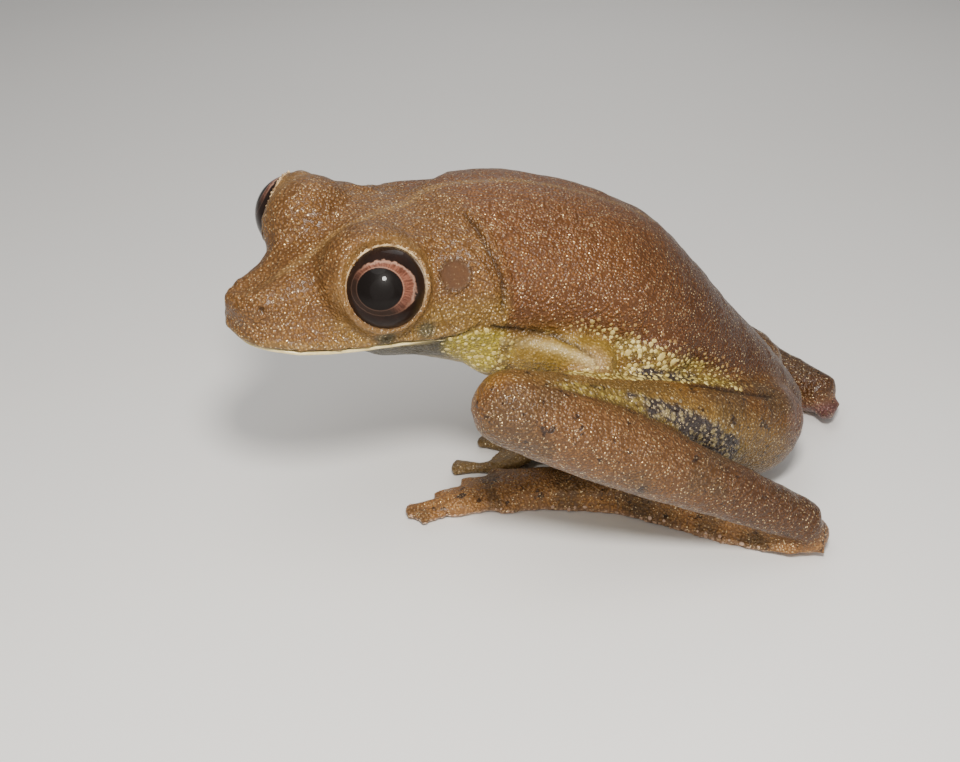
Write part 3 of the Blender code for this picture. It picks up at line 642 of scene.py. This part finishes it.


# The folds, the mouth's opening and the nostrils are gathered here, to be painted dark as shade
crease_shade = np.zeros(len(POINTS))
raised = np.zeros(len(POINTS))
neck_fold = band(NECK_FOLD, 0.27)
crease_shade = np.maximum(crease_shade, neck_fold * 0.75)
fold_swelling = band([Vector(place) + FOLD_SWELLING_AT for place in NECK_FOLD], 0.5)
raised += 0.42 * fold_swelling - 0.34 * neck_fold
arm_crease = band(ARM_CREASE, 0.34, ends=0.1)
crease_shade = np.maximum(crease_shade, arm_crease * 0.9)
raised += 0.4 * band(ARM_TOP, 1.0, ends=0.1) - 0.45 * arm_crease
raised += 0.5 * np.exp(-((np.linalg.norm(POINTS - np.array(JAW_LOBE), axis=1) / JAW_LOBE_SIZE) ** 2))
groin = band(GROIN_FOLD, 0.4, ends=0.2)
crease_shade = np.maximum(crease_shade, groin)
raised -= 0.4 * groin

HEAD = head_places(POINTS)
mouth_lines = {side: laid([on_side(*place, sign) for place in MOUTH]) for side, sign in EYE_SIGNS.items()}
lip = np.zeros(len(POINTS))
lower_lip = np.zeros(len(POINTS))
for line in mouth_lines.values():
    away, share, over = beside(line)
    opening = np.exp(-((away / (0.26 - 0.1 * share)) ** 2)) * (1 - ramp(share, 0.8, 1.0))
    crease_shade = np.maximum(crease_shade, opening)
    raised -= 0.4 * opening
    near = 1 - ramp(away, 1.6, 2.0)
    lip = np.maximum(lip, np.exp(-(((over - 0.75) / 0.5) ** 2)) * near * (1 - ramp(share, 0.72, 0.9)))
    under = np.exp(-(((over + 0.55) / 0.4) ** 2)) * near * (1 - ramp(share, 0.45, 0.65))
    lower_lip = np.maximum(lower_lip, under)
raised += 0.1 * lip

eardrum = np.zeros(len(POINTS))
drum_edge = np.zeros(len(POINTS))
nostrils = np.zeros(len(POINTS))
canthus = np.zeros(len(POINTS))
for sign in EYE_SIGNS.values():
    ear_fold = band([on_side(forward, height, sign) for forward, height in EAR_FOLD], 0.45)
    drum = np.array(on_side(*EARDRUM, sign))
    away = np.linalg.norm(POINTS - drum, axis=1)
    eardrum = np.maximum(eardrum, 1 - ramp(away, EARDRUM_RADIUS - 0.3, EARDRUM_RADIUS + 0.1))
    drum_edge = np.maximum(drum_edge, np.exp(-(((away - EARDRUM_RADIUS - 0.05) / 0.24) ** 2)))
    nostril = np.array(hide_tree.find_nearest(in_head(NOSTRIL[0], NOSTRIL[1] * sign, NOSTRIL[2]))[0])
    away = np.linalg.norm(POINTS - nostril, axis=1)
    nostrils = np.maximum(nostrils, np.exp(-((away / NOSTRIL_SIZE) ** 2)))
    raised += 0.16 * ear_fold + 0.12 * np.exp(-(((away - 0.85) / 0.4) ** 2))
    ridge = [in_head(forward, aside * sign, height) for forward, aside, height in CANTHUS]
    canthus = np.maximum(canthus, band(ridge, 0.6))
raised += 0.1 * drum_edge - 0.08 * eardrum - 0.6 * nostrils - 0.12 * canthus

lumps = np.array(
    [noise.noise(Vector(point) / 2.6) * 0.12 + noise.noise(Vector(point) / 1.1) * 0.07 for point in POINTS]
)
raised = (raised + lumps * (1 - eardrum)) * (1 - lids)
POINTS = POINTS + normals(POINTS) * raised[:, None]
POINTS[:, 2] = np.maximum(POINTS[:, 2], 0.0)

# Markings of the hide. It is painted brown all over, then region by region in the frog's own
# colours and in painted light and shade, each easing into the next, and the finish breaks them
# up with granules, specks, painted shade in the pits and folds, and painted glints.
BACK = (0.200, 0.081, 0.022)
REAR_BACK_SHADE = (0.115, 0.043, 0.012)
HEAD_TOP = (0.215, 0.103, 0.029)
SNOUT = (0.235, 0.113, 0.031)
CHEEK = (0.290, 0.168, 0.035)
LIDS = (0.230, 0.125, 0.038)
LIP = (0.350, 0.215, 0.065)
LOWER_LIP = (0.720, 0.580, 0.230)
LIP_PATCH = (0.110, 0.095, 0.045)
DRUM = (0.075, 0.031, 0.011)
THROAT_SHADE = (0.040, 0.034, 0.012)
BELLY = (0.460, 0.350, 0.150)
THIGH = (0.310, 0.150, 0.032)
SHANK = (0.215, 0.101, 0.032)
FOOT_WITH_PAINTED_LIGHT = (0.460, 0.230, 0.074)
OCHRE = (0.330, 0.200, 0.045)
FRINGE = (0.600, 0.380, 0.230)
ARM = (0.330, 0.210, 0.038)
ARM_YELLOW = (0.560, 0.450, 0.050)
ARM_CREAM_AND_HIGHLIGHT = (0.620, 0.500, 0.210)
ELBOW = (0.480, 0.320, 0.150)
HAND = (0.220, 0.140, 0.050)
LILAC = (0.220, 0.105, 0.090)
SHANK_REAR_SHADE = (0.105, 0.043, 0.015)
THIGH_BACK_SHADE = (0.135, 0.058, 0.015)
THIGH_REAR = (0.190, 0.095, 0.075)
BAR = (0.085, 0.062, 0.030)
CANTHUS_DARK = (0.060, 0.030, 0.015)
# Middle and half width of the dark bars across the left foot and its long ankle
BARS = ((0.5, 1.3), (11.0, 2.2), (21.0, 1.9), (29.5, 1.7), (35.6, 1.2))
FLANK_LINE = (
    (-14.0, 31.0), (-5.5, 32.0), (0.2, 33.6), (8.1, 34.6), (13.7, 34.0), (20.9, 30.8),
    (28.9, 26.0), (34.0, 22.0), (44.0, 12.0),
)
DORSAL_LINE = (
    in_head(13.5, 0.6, -1.1), in_head(8.0, 1.0, 0.0), in_head(3.0, 1.2, 1.5), in_head(-4.0, 1.2, 2.8),
    in_head(-10.0, 1.0, 2.1), (-6.6, -4.0, 48.2), (0.7, -3.6, 48.4), (7.0, -3.0, 47.8), (11.7, -2.4, 46.6),
    (18.0, -1.4, 43.6), (25.0, -0.6, 37.6), (34.0, 0.0, 27.0),
)
ELBOW_PLACE = (11.6, -19.0, 28.6)
ARM_CORNER = (-2.6, -16.2, 31.0)
# x and y of the crease where the folded thigh meets the flank
THIGH_TOP = (
    (-5.0, -26.6), (12.3, -22.1), (21.6, -17.6), (27.9, -15.3), (33.5, -13.8), (38.6, -12.1), (44.0, -9.0),
)
# Forward, left and height of the dark patches on the left side of the upper lip
LIP_PATCHES = ((1.3, 11.6, -7.2), (-3.8, 13.2, -7.4))


def rearwards(start, end):
    """Rises from 0 to 1 between two places along the frog, front to rear."""
    return ramp(POINTS[:, 0], start, end)


def close_to(place, inner, outer):
    """1 within the inner distance of a place, 0 beyond the outer one."""
    return 1 - ramp(np.linalg.norm(POINTS - np.array(list(place)), axis=1), inner, outer)


def gap_to(node, chosen):
    """The distance from the chosen points to a node's solid, and far for all others."""
    solid = BVHTree.FromPolygons(*drawn(node))
    gaps = np.full(len(POINTS), 99.0)
    for index in np.flatnonzero(chosen):
        gaps[index] = solid.find_nearest(Vector(POINTS[index]))[3]
    return gaps


trunk = belongs("torso", ease=3)
below_flank = np.interp(POINTS[:, 0], *zip(*FLANK_LINE)) - POINTS[:, 2]
inner = ramp(POINTS[:, 1] - np.interp(POINTS[:, 0], *zip(*THIGH_TOP)), 0.0, 1.0)
body_side = np.maximum(trunk, belongs("thigh_left", ease=2) * inner * rearwards(4, 8))
body_side = body_side * (1 - rearwards(36, 40))
flank = ramp(below_flank, -0.5, 4.5) * body_side
slate = ramp(below_flank, 3.0, 6.0) * rearwards(14, 21) * body_side
belly = ramp(below_flank, 8.0, 13.0) * trunk
hidden = np.zeros(len(POINTS))
ochre = np.zeros(len(POINTS))
fringe = np.zeros(len(POINTS))
for side in EYE_SIGNS:
    thigh = belongs("thigh_" + side, ease=2)
    gap = gap_to("shank_" + side, thigh > 0.5)
    reach = 2.2 + 0.1 * np.maximum(POINTS[:, 0] - 5.0, 0)
    hidden = np.maximum(hidden, (1 - ramp(gap, reach * 0.6, reach * 1.3)) * thigh * rearwards(2, 9))
    ochre = np.maximum(ochre, (1 - ramp(gap, reach, reach * 2.0)) * thigh * rearwards(2, 9) * 0.8)
    under = belongs("tarsus_" + side, "foot_" + side, ease=1)
    fringe = np.maximum(fringe, under * (1 - ramp(POINTS[:, 2], 0.5, 1.1)))

head = belongs("head", ease=3)
jaw = belongs("lower_jaw", ease=2)
shanks = belongs("shank", ease=4)
legs = belongs("thigh", "shank", "tarsus", "foot")
arms = belongs("upper_arm", "forearm", "hand", ease=3)
feet = belongs("tarsus", "foot", ease=4)
corner = close_to(ARM_CORNER, 2.6, 5.4) * (1 - legs) * (1 - ramp(POINTS[:, 2], 33.2, 35.0))
between = 2 * np.minimum(belongs("shank", ease=2), belongs("tarsus", ease=2)) * (1 - rearwards(40, 50))
knee_fold = 2 * np.minimum(belongs("thigh", ease=2), belongs("shank", ease=2)) * rearwards(2, 9)
# Painted shade in the folds between the shank and the ankle, and behind the knee
crease_shade = np.maximum(crease_shade, np.maximum(between * 0.15, knee_fold * 0.7))

paint = np.tile(BACK, (len(POINTS), 1))


def lay(colour, where):
    """Lays a colour over the paint where the mask is 1."""
    paint[:] += (np.array(colour) - paint) * np.clip(where, 0, 1)[:, None]


# Painted shade: the back darkens towards the rear, where less light falls
lay(REAR_BACK_SHADE, rearwards(14, 34) * trunk)
lay(HEAD_TOP, head)
lay(SNOUT, head * ramp(HEAD[:, 0], 3, 9))
lay(CHEEK, (head + jaw) * (1 - ramp(HEAD[:, 2], -5.5, -2.5)) * (1 - ramp(HEAD[:, 0], 4, 9)))
lay(LIDS, lids * 0.8)
# Painted shade: the upper throat under the lip is painted near black, as it lies in shade
lay(THROAT_SHADE, jaw * (1 - ramp(HEAD[:, 2], -8.2, -7.0)))
lay(BELLY, jaw * (1 - ramp(HEAD[:, 2], -16.5, -13.0)) * 0.6)
lay(THIGH, belongs("thigh"))
# Painted shade: the thighs darken towards the rear, where less light falls
lay(THIGH_BACK_SHADE, belongs("thigh") * rearwards(20, 38) * 0.8)
lay(THIGH_REAR, belongs("thigh_left") * rearwards(41, 43.5) * 0.6)
lay(SHANK, shanks)
# Painted shade: the shanks darken towards the rear, where less light falls
lay(SHANK_REAR_SHADE, shanks * rearwards(14, 36) * 0.8)
# The feet's own tan, painted paler as painted light to make up for the shade they lie in
lay(FOOT_WITH_PAINTED_LIGHT, feet)
for middle, width in BARS:
    away = abs(POINTS[:, 0] - middle + lumps * 9)
    lay(BAR, feet * (1 - ramp(away, width * 0.5, width * 1.2)) * 0.45)
lay(OCHRE, ochre)
lay(BELLY, belly)
lay(ARM, arms)
lay(HAND, belongs("hand", ease=2))
lay(ARM_YELLOW, corner)
lay(ELBOW, arms * close_to(ELBOW_PLACE, 0.8, 3.6) * 0.8)
lay(ARM, band(ARM_TOP, 2.2, ends=0.0) * trunk * (1 - rearwards(9, 12)) * 0.8)
# The arm's own pale top edge, with a painted highlight along the wet ridge
lay(ARM_CREAM_AND_HIGHLIGHT, band(ARM_TOP, 0.6, ends=0.05) * (0.8 + lumps * 3))
lay(LIP, lip * 0.8)
for place in LIP_PATCHES:
    lay(LIP_PATCH, head * close_to(in_head(*place), 0.6, 1.9) * 0.9)
lay(LOWER_LIP, lower_lip * 0.9)
lay(DRUM, eardrum * 0.9)
lay(CANTHUS_DARK, canthus * 0.45)
lay(LILAC, belongs("tarsus_right", ease=2) * rearwards(50, 55))
lay(FRINGE, fringe * 0.8)

# Parts of the hide without painted glints, painted pit shade and strong grain, and how far they are so
calm_parts = (
    (jaw * (1 - ramp(HEAD[:, 2], -8.6, -7.6)) * (1 - corner), 0.7),
    (eardrum, 0.9),
    (lids, 0.5),
    (lower_lip, 0.7),
    (canthus, 0.3),
    (arms, 0.3),
    (band(ARM_TOP, 1.8, ends=0.0), 0.25),
)
masks = {
    "flank": np.maximum(flank * (1 - belly), hidden),
    "slate": np.maximum(slate * (1 - belly), hidden * rearwards(12, 24)),
    "pale_line": band(DORSAL_LINE, 0.7, ends=0.06),
    # Painted shade of the folds, the mouth and the nostrils, with the eardrum's own dark ring
    "crease_shade": np.clip(crease_shade + nostrils + drum_edge * 0.55, 0, 1),
    "calm": np.clip(sum(where * share for where, share in calm_parts), 0, 1),
    "matt": eardrum,
    "legs": legs,
}

# What the finish lays over the paint: tones that darken it, painted shade for the pits and folds,
# then grounds, stones, specks and glints painted as highlights
BROAD_SHADE = (0.62, 0.55, 0.50, 1)
MOTTLE_SHADE = (0.58, 0.52, 0.48, 1)
PIT_SHADOW = (0.22, 0.17, 0.14, 1)
LEG_BAR = (0.085, 0.058, 0.026, 1)
YELLOW_GROUND = (0.24, 0.160, 0.034, 1)
YELLOW_STONES = (0.50, 0.38, 0.080, 1)
SLATE_GROUND = (0.065, 0.050, 0.045, 1)
SLATE_STONES = (0.36, 0.30, 0.20, 1)
PALE_LINE = (0.33, 0.20, 0.07, 1)
SPECK = (0.030, 0.014, 0.008, 1)
GLINT_HIGHLIGHT = (0.95, 0.73, 0.40, 1)
CREASE_SHADOW = (0.014, 0.007, 0.004, 1)
GRAIN_SIZE = 0.42
WART_SIZE = 1.15


def skin_finish():
    """The painted hide, mottled, with painted shade in pits and folds, warts on the flanks, dark specks and
    painted glints.
    """
    finish = Finish("granular_skin", Specular_IOR_Level=0.35)
    mask = {name: finish.mask(name) for name in masks}
    broad = finish.grain(6.0, 3.0)
    mottle = finish.grain(1.6, 4.0, 0.65)
    fine = finish.grain(0.22, 3.0, 0.6)
    grain = finish.cells(GRAIN_SIZE)
    warts = finish.cells(WART_SIZE)
    lively = 1.0 - mask["calm"]
    colour = finish.node("ShaderNodeAttribute", {"attribute_name": "paint"}, {}, "Color")
    colour = finish.blend((1.0 - broad.sharpened(0.5, 0.35)) * 0.35, colour, BROAD_SHADE, "MULTIPLY")
    colour = finish.blend((1.0 - mottle.sharpened(0.47, 0.3)) * 0.4, colour, MOTTLE_SHADE, "MULTIPLY")
    bars = finish.grain(9.0, 1.0).sharpened(0.56, 0.08) * mask["legs"] * 0.4
    colour = finish.blend(bars, colour, LEG_BAR)
    flank = (mask["flank"] + (mottle - 0.5) * 0.9).sharpened(0.5, 0.35)
    slate = (mask["slate"] + (finish.grain(3.2, 2.0) - 0.5) * 2.2).sharpened(0.55, 0.3)
    ground = finish.blend(slate, YELLOW_GROUND, SLATE_GROUND)
    stones = finish.blend(slate * 0.6, YELLOW_STONES, SLATE_STONES)
    pebbled = finish.blend((1.0 - warts * 2.1).sharpened(0.3, 0.5), ground, stones)
    colour = finish.blend(flank, colour, pebbled)
    line = (mask["pale_line"] + (mottle - 0.5) * 0.5).sharpened(0.55, 0.6) * 0.5
    colour = finish.blend(line, colour, PALE_LINE)
    specks = finish.grain(2.0, 4.0, 0.75).sharpened(0.615, 0.04) * (0.25 + mask["legs"] * 0.6)
    colour = finish.blend(specks, colour, SPECK)
    # Painted shade darkens the pits between the granules
    colour = finish.blend(grain.sharpened(0.40, 0.35) * 0.65 * lively, colour, PIT_SHADOW, "MULTIPLY")
    # Glints are painted highlights: pale gold metallic points on the granules, in clusters
    clusters = (fine + (mottle - 0.5) * 0.45).sharpened(0.52, 0.1)
    painted_glints = (1.0 - finish.cells(GRAIN_SIZE, offset=0.3)).sharpened(0.77, 0.1) * clusters * lively
    colour = finish.blend(painted_glints * 0.95, colour, GLINT_HIGHLIGHT)
    # Painted shade darkens the folds, the mouth's opening and the nostrils, with the eardrum's own dark
    # ring
    colour = finish.blend(mask["crease_shade"] * 0.85, colour, CREASE_SHADOW)
    height = (1.0 - grain * 1.5).clipped() * (0.3 + lively * 0.9)
    height = height + (1.0 - warts * 1.4).clipped() * mask["flank"] + fine * 0.35 + mottle * 0.4
    relief = finish.node("ShaderNodeBump", {}, {"Strength": 1.0, "Distance": 0.15 * MM, "Height": height})
    roughness = 0.32 + (mottle - 0.5) * 0.2 + mask["matt"] * 0.5
    finish.wear(Base_Color=colour, Roughness=roughness, Metallic=painted_glints * 0.7, Normal=relief)
    return finish


moved = (POINTS + np.array(DRAWING_MOVED)) * MM
hide_mesh.vertices.foreach_set("co", moved.ravel())
for name, values in masks.items():
    layer = hide_mesh.attributes.new(name, "FLOAT", "POINT")
    layer.data.foreach_set("value", np.clip(values, 0, 1).astype(np.float32))
layer = hide_mesh.attributes.new("paint", "FLOAT_COLOR", "POINT")
layer.data.foreach_set("color", np.column_stack([paint, np.ones(len(paint))]).astype(np.float32).ravel())
hide_mesh.update()
skin = shown(hide_mesh, "skin", skin_finish())
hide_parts(*FLESH)

# Rims of the lids. A thin pale edge of skin lines each opening, thickest above and behind, where
# small granules fray it.
RIM_THICKNESS = 0.15
FRILLS = 34
RIM_SHADE_BROWN = (0.15, 0.075, 0.028, 1)
RIM_PALE = (0.72, 0.52, 0.28, 1)
# The high side of a lid (forward, outward, up), where its rim is palest in painted light
RIM_HIGH = (-0.45, 0.0, 0.9)
rim_finish = Finish("lid_rim", Roughness=0.3)
# The rim's pale edge is painted palest on its high side as painted light and brown low down as painted
# shade
rim_shade = rim_finish.grain(1.0, 3.0).sharpened(0.5, 0.4) * rim_finish.mask("pale")
rim_finish.wear(Base_Color=rim_finish.blend(rim_shade, RIM_SHADE_BROWN, RIM_PALE))
draw = random.Random(7)
for side, sign in EYE_SIGNS.items():
    rim = bmesh.new()
    faces = head_way(*LID_FACES[side], sign)
    centre = in_head(0.0, EYE_SIDE * sign, EYE_HEIGHT) + faces * LID_AHEAD[side]
    high = head_way(*RIM_HIGH, sign)
    high = (high - faces * high.dot(faces)).normalized()
    across = high.cross(faces)
    ring_turn = Matrix((high, faces, across)).transposed().to_4x4()
    start = Matrix.Translation(placed(centre + high * LID_EDGE[side])) @ ring_turn
    bmesh.ops.create_circle(rim, segments=8, radius=RIM_THICKNESS * MM, matrix=start)
    bmesh.ops.spin(
        rim, geom=rim.verts[:] + rim.edges[:], cent=placed(centre), axis=faces, angle=math.tau, steps=96,
        use_merge=True, use_normal_flip=False, dvec=(0, 0, 0), space=Matrix.Identity(4),
    )
    bmesh.ops.remove_doubles(rim, verts=rim.verts, dist=0.001 * MM)
    bmesh.ops.recalc_face_normals(rim, faces=rim.faces)
    for vertex in rim.verts:
        off = vertex.co - placed(centre)
        outwards = (off - faces * off.dot(faces)).normalized()
        cord = placed(centre + outwards * LID_EDGE[side])
        thick = 0.78 + 0.32 * outwards.dot(high) + 0.35 * noise.noise(vertex.co / (0.9 * MM))
        vertex.co = cord + (vertex.co - cord) * thick
    for number in range(FRILLS):
        angle = (number / (FRILLS - 1) - 0.5) * 2.6 + draw.uniform(-0.04, 0.04)
        away = LID_EDGE[side] + draw.uniform(0.0, 0.3)
        place = centre + (high * math.cos(angle) + across * math.sin(angle)) * away + faces * 0.08
        size = draw.uniform(0.09, 0.17) * MM
        stand = Matrix.Translation(placed(place))
        bmesh.ops.create_uvsphere(rim, u_segments=7, v_segments=5, radius=size, matrix=stand)
    piece = shown(rim, "lid_rim_" + side, rim_finish)
    pale = piece.data.attributes.new("pale", "FLOAT", "POINT")
    # Painted light on the rim's high side; its low side goes brown as painted shade
    for vertex in piece.data.vertices:
        outwards = (vertex.co / MM - placed(centre) / MM).normalized()
        pale.data[vertex.index].value = min(1.0, max(0.0, 0.55 + 0.75 * outwards.dot(high)))

# Lower lip. A smooth pale bead of skin runs under the front two thirds of the mouth's line, in
# two halves. Each swells from a fine point in front and thins out again behind.
BEAD_THICKNESS = 0.26
BEAD_REACH = 0.66
BEAD_DROP = 0.42
BEAD_FINEST = 0.15
BEAD_OCHRE = (0.50, 0.36, 0.12, 1)
BEAD_PALE = (0.78, 0.66, 0.34, 1)
bead_finish = Finish("lip_bead", Roughness=0.28, Specular_IOR_Level=0.6)
bead_shade = bead_finish.grain(1.6, 3.0).sharpened(0.45, 0.4)
bead_finish.wear(Base_Color=bead_finish.blend(bead_shade, BEAD_OCHRE, BEAD_PALE))
for side, line in mouth_lines.items():
    route = [Vector(point) - HEAD_UP * BEAD_DROP for point in line[: int(len(line) * BEAD_REACH)]]
    curve = bpy.data.curves.new("lip_bead_" + side, "CURVE")
    curve.dimensions = "3D"
    curve.bevel_depth = BEAD_THICKNESS * MM
    curve.bevel_resolution = 3
    curve.use_fill_caps = True
    spline = curve.splines.new("POLY")
    spline.points.add(len(route) - 1)
    for number, place in enumerate(route):
        share = number / (len(route) - 1)
        spline.points[number].co = (*placed(hide_tree.find_nearest(place)[0]), 1.0)
        swell = float(ramp(share, 0.0, 0.3) * (1 - ramp(share, 0.6, 1.0)))
        spline.points[number].radius = max(BEAD_FINEST, swell)
    bead = bpy.data.objects.new("lip_bead_" + side, curve)
    bpy.context.scene.collection.objects.link(bead)
    curve.materials.append(bead_finish.material)
    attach(bead, "root")

# Granules. Round glassy grains stand on the flanks, in the corner before the left arm and on the
# folded face of the thighs, and pale ones edge the feet. Each kind is one joined piece of domes.
GRAIN_BROWN = (0.21, 0.10, 0.028, 1)
DOME_HEIGHT = 0.34
DOME_SUNK = 0.2


def granules(name, weight, spacing, sizes, finish, seed, light=None):
    """Domes set on the hide where the weight is high, none nearer to another than the spacing."""
    chance = random.Random(seed)
    order = [int(index) for index in np.flatnonzero(weight > 0.05)]
    chance.shuffle(order)
    ways = normals(POINTS)
    taken = {}
    dome = bmesh.new()
    bmesh.ops.create_uvsphere(dome, u_segments=8, v_segments=5, radius=1.0)
    pattern = bpy.data.meshes.new(name + "_pattern")
    dome.to_mesh(pattern)
    dome.free()
    domes = bmesh.new()
    shades = []
    for index in order:
        if chance.random() > weight[index]:
            continue
        way = Vector(ways[index])
        shift = Vector([chance.uniform(-0.2, 0.2) for _ in range(3)])
        place = Vector(POINTS[index]) + shift - way * shift.dot(way)
        cell = tuple(int(coordinate // spacing) for coordinate in place)
        around_it = [
            other
            for step in np.ndindex(3, 3, 3)
            for other in taken.get(tuple(at + move - 1 for at, move in zip(cell, step)), ())
        ]
        if any((other - place).length < spacing for other in around_it):
            continue
        taken.setdefault(cell, []).append(place)
        size = chance.uniform(*sizes)
        place.z = max(place.z, size)
        stretch = Matrix.Diagonal((size * chance.uniform(0.8, 1.4), size, size * DOME_HEIGHT, 1.0))
        spin = Matrix.Rotation(chance.uniform(0, 3.1), 3, "Z")
        turn = (way.to_track_quat("Z", "Y").to_matrix() @ spin).to_4x4()
        foot = Matrix.Translation(placed(place - way * size * DOME_SUNK))
        stand = foot @ turn @ Matrix.Scale(MM, 4) @ stretch
        copy = pattern.copy()
        copy.transform(stand)
        domes.from_mesh(copy)
        bpy.data.meshes.remove(copy)
        shades += [1.0 if light is None else light[index]] * len(pattern.vertices)
    piece = shown(domes, name, finish)
    layer = piece.data.attributes.new("light", "FLOAT", "POINT")
    layer.data.foreach_set("value", shades)
    return piece


def granule_finish(name, dark, light):
    """Glassy grains between two colours, brown where the mesh's attribute called light is 0."""
    finish = Finish(name, Roughness=0.3, Specular_IOR_Level=0.6)
    shade = finish.grain(1.7, 2.0).sharpened(0.5, 0.5)
    colour = finish.blend(shade, dark, light)
    colour = finish.blend(finish.mask("light"), GRAIN_BROWN, colour)
    height = finish.grain(0.2)
    relief = finish.node("ShaderNodeBump", {}, {"Strength": 0.5, "Distance": 0.04 * MM, "Height": height})
    finish.wear(Base_Color=colour, Normal=relief)
    return finish


yellow_grains = granule_finish("yellow_granules", (0.38, 0.27, 0.060, 1), (0.74, 0.62, 0.23, 1))
cream_grains = granule_finish("cream_granules", (0.14, 0.10, 0.055, 1), (0.42, 0.33, 0.19, 1))
pale_grains = granule_finish("fringe_granules", (0.34, 0.18, 0.10, 1), (0.66, 0.46, 0.32, 1))
clear = 1 - np.clip(crease_shade * 2, 0, 1)
on_flank = ramp(below_flank, -1.0, 2.5) * body_side * (1 - belly) * rearwards(7, 13)
low_flank = on_flank * ramp(below_flank, 1.5, 4.5) * (1 - rearwards(20, 32))
yellowing = ramp(below_flank, -0.8, 3.0)
granules("flank_granules", on_flank * clear, 0.62, (0.22, 0.42), yellow_grains, 3, yellowing)
granules("flank_large_granules", low_flank * clear * 0.3, 1.3, (0.4, 0.62), yellow_grains, 8, yellowing)
granules("arm_granules", corner * clear * 0.7, 0.8, (0.2, 0.42), yellow_grains, 4)
granules("thigh_granules", hidden * clear * 0.6, 0.7, (0.14, 0.3), cream_grains, 5)
granules("fringe_granules", fringe * 0.8, 0.62, (0.18, 0.34), pale_grains, 6)

# Floor and studio. A plain pale floor, soft lights, and a camera at the photograph's angle. The
# key light is small and high in front, as the wet hide glints under it.
CAMERA_AIM = (0.0, 0.0, 16.5)
CAMERA_ELEVATION = math.radians(30.0)
CAMERA_TURN = math.radians(8.0)
CAMERA_AWAY = 190.0
LENS_PIXELS = 1311.0
IMAGE_WIDTH = 960
SENSOR_WIDTH = 36.0
FLOOR_SIZE = 3.0
FLOOR_COLOURS = ((0.84, 0.83, 0.81, 1), (0.86, 0.85, 0.83, 1))
LIGHTS_AIM = Vector((10.0, -5.0, 22.0))
floor_shape = bmesh.new()
bmesh.ops.create_grid(floor_shape, x_segments=1, y_segments=1, size=FLOOR_SIZE)
floor_finish = Finish("floor", Roughness=0.7)
floor_finish.wear(Base_Color=floor_finish.blend(floor_finish.grain(40.0), *FLOOR_COLOURS))
floor_mesh = bpy.data.meshes.new("floor")
floor_shape.to_mesh(floor_mesh)
floor_shape.free()
floor = bpy.data.objects.new("floor", floor_mesh)
floor.data.materials.append(floor_finish.material)
bpy.context.scene.collection.objects.link(floor)

back = Vector(
    (
        -math.sin(CAMERA_TURN) * math.cos(CAMERA_ELEVATION),
        -math.cos(CAMERA_TURN) * math.cos(CAMERA_ELEVATION),
        math.sin(CAMERA_ELEVATION),
    )
)
camera = bpy.data.objects.new("camera", bpy.data.cameras.new("camera"))
camera.data.sensor_width = SENSOR_WIDTH
camera.data.lens = LENS_PIXELS * SENSOR_WIDTH / IMAGE_WIDTH
camera.data.clip_start = 0.01
camera.location = placed(Vector(CAMERA_AIM) + back * CAMERA_AWAY)
camera.rotation_mode = "QUATERNION"
camera.rotation_quaternion = back.to_track_quat("Z", "Y")
bpy.context.scene.collection.objects.link(camera)
bpy.context.scene.camera = camera

# Name, place in the drawing, size, watts, colour
LIGHTS = (
    ("key", (-12.0, -134.0, 162.0), 32.0, 0.50, (1.0, 0.96, 0.90)),
    ("front", (-40.0, -250.0, 95.0), 300.0, 0.24, (1.0, 0.97, 0.93)),
    ("soft", (-60.0, -60.0, 300.0), 200.0, 0.28, (1.0, 0.97, 0.94)),
    ("fill", (190.0, -160.0, 130.0), 220.0, 0.05, (1.0, 0.99, 0.97)),
    ("back", (60.0, 260.0, 220.0), 240.0, 0.20, (1.0, 0.98, 0.95)),
)
for name, place, size, watts, colour in LIGHTS:
    lamp = bpy.data.lights.new(name, "AREA")
    lamp.shape = "DISK"
    lamp.size = size * MM
    lamp.energy = watts
    lamp.color = colour
    light = bpy.data.objects.new(name, lamp)
    light.location = placed(place)
    light.rotation_mode = "QUATERNION"
    light.rotation_quaternion = (Vector(place) - LIGHTS_AIM).to_track_quat("Z", "Y")
    bpy.context.scene.collection.objects.link(light)
world = bpy.data.worlds.new("studio")
world.use_nodes = True
world.node_tree.nodes["Background"].inputs["Color"].default_value = (0.85, 0.84, 0.83, 1.0)
world.node_tree.nodes["Background"].inputs["Strength"].default_value = 0.34
bpy.context.scene.world = world
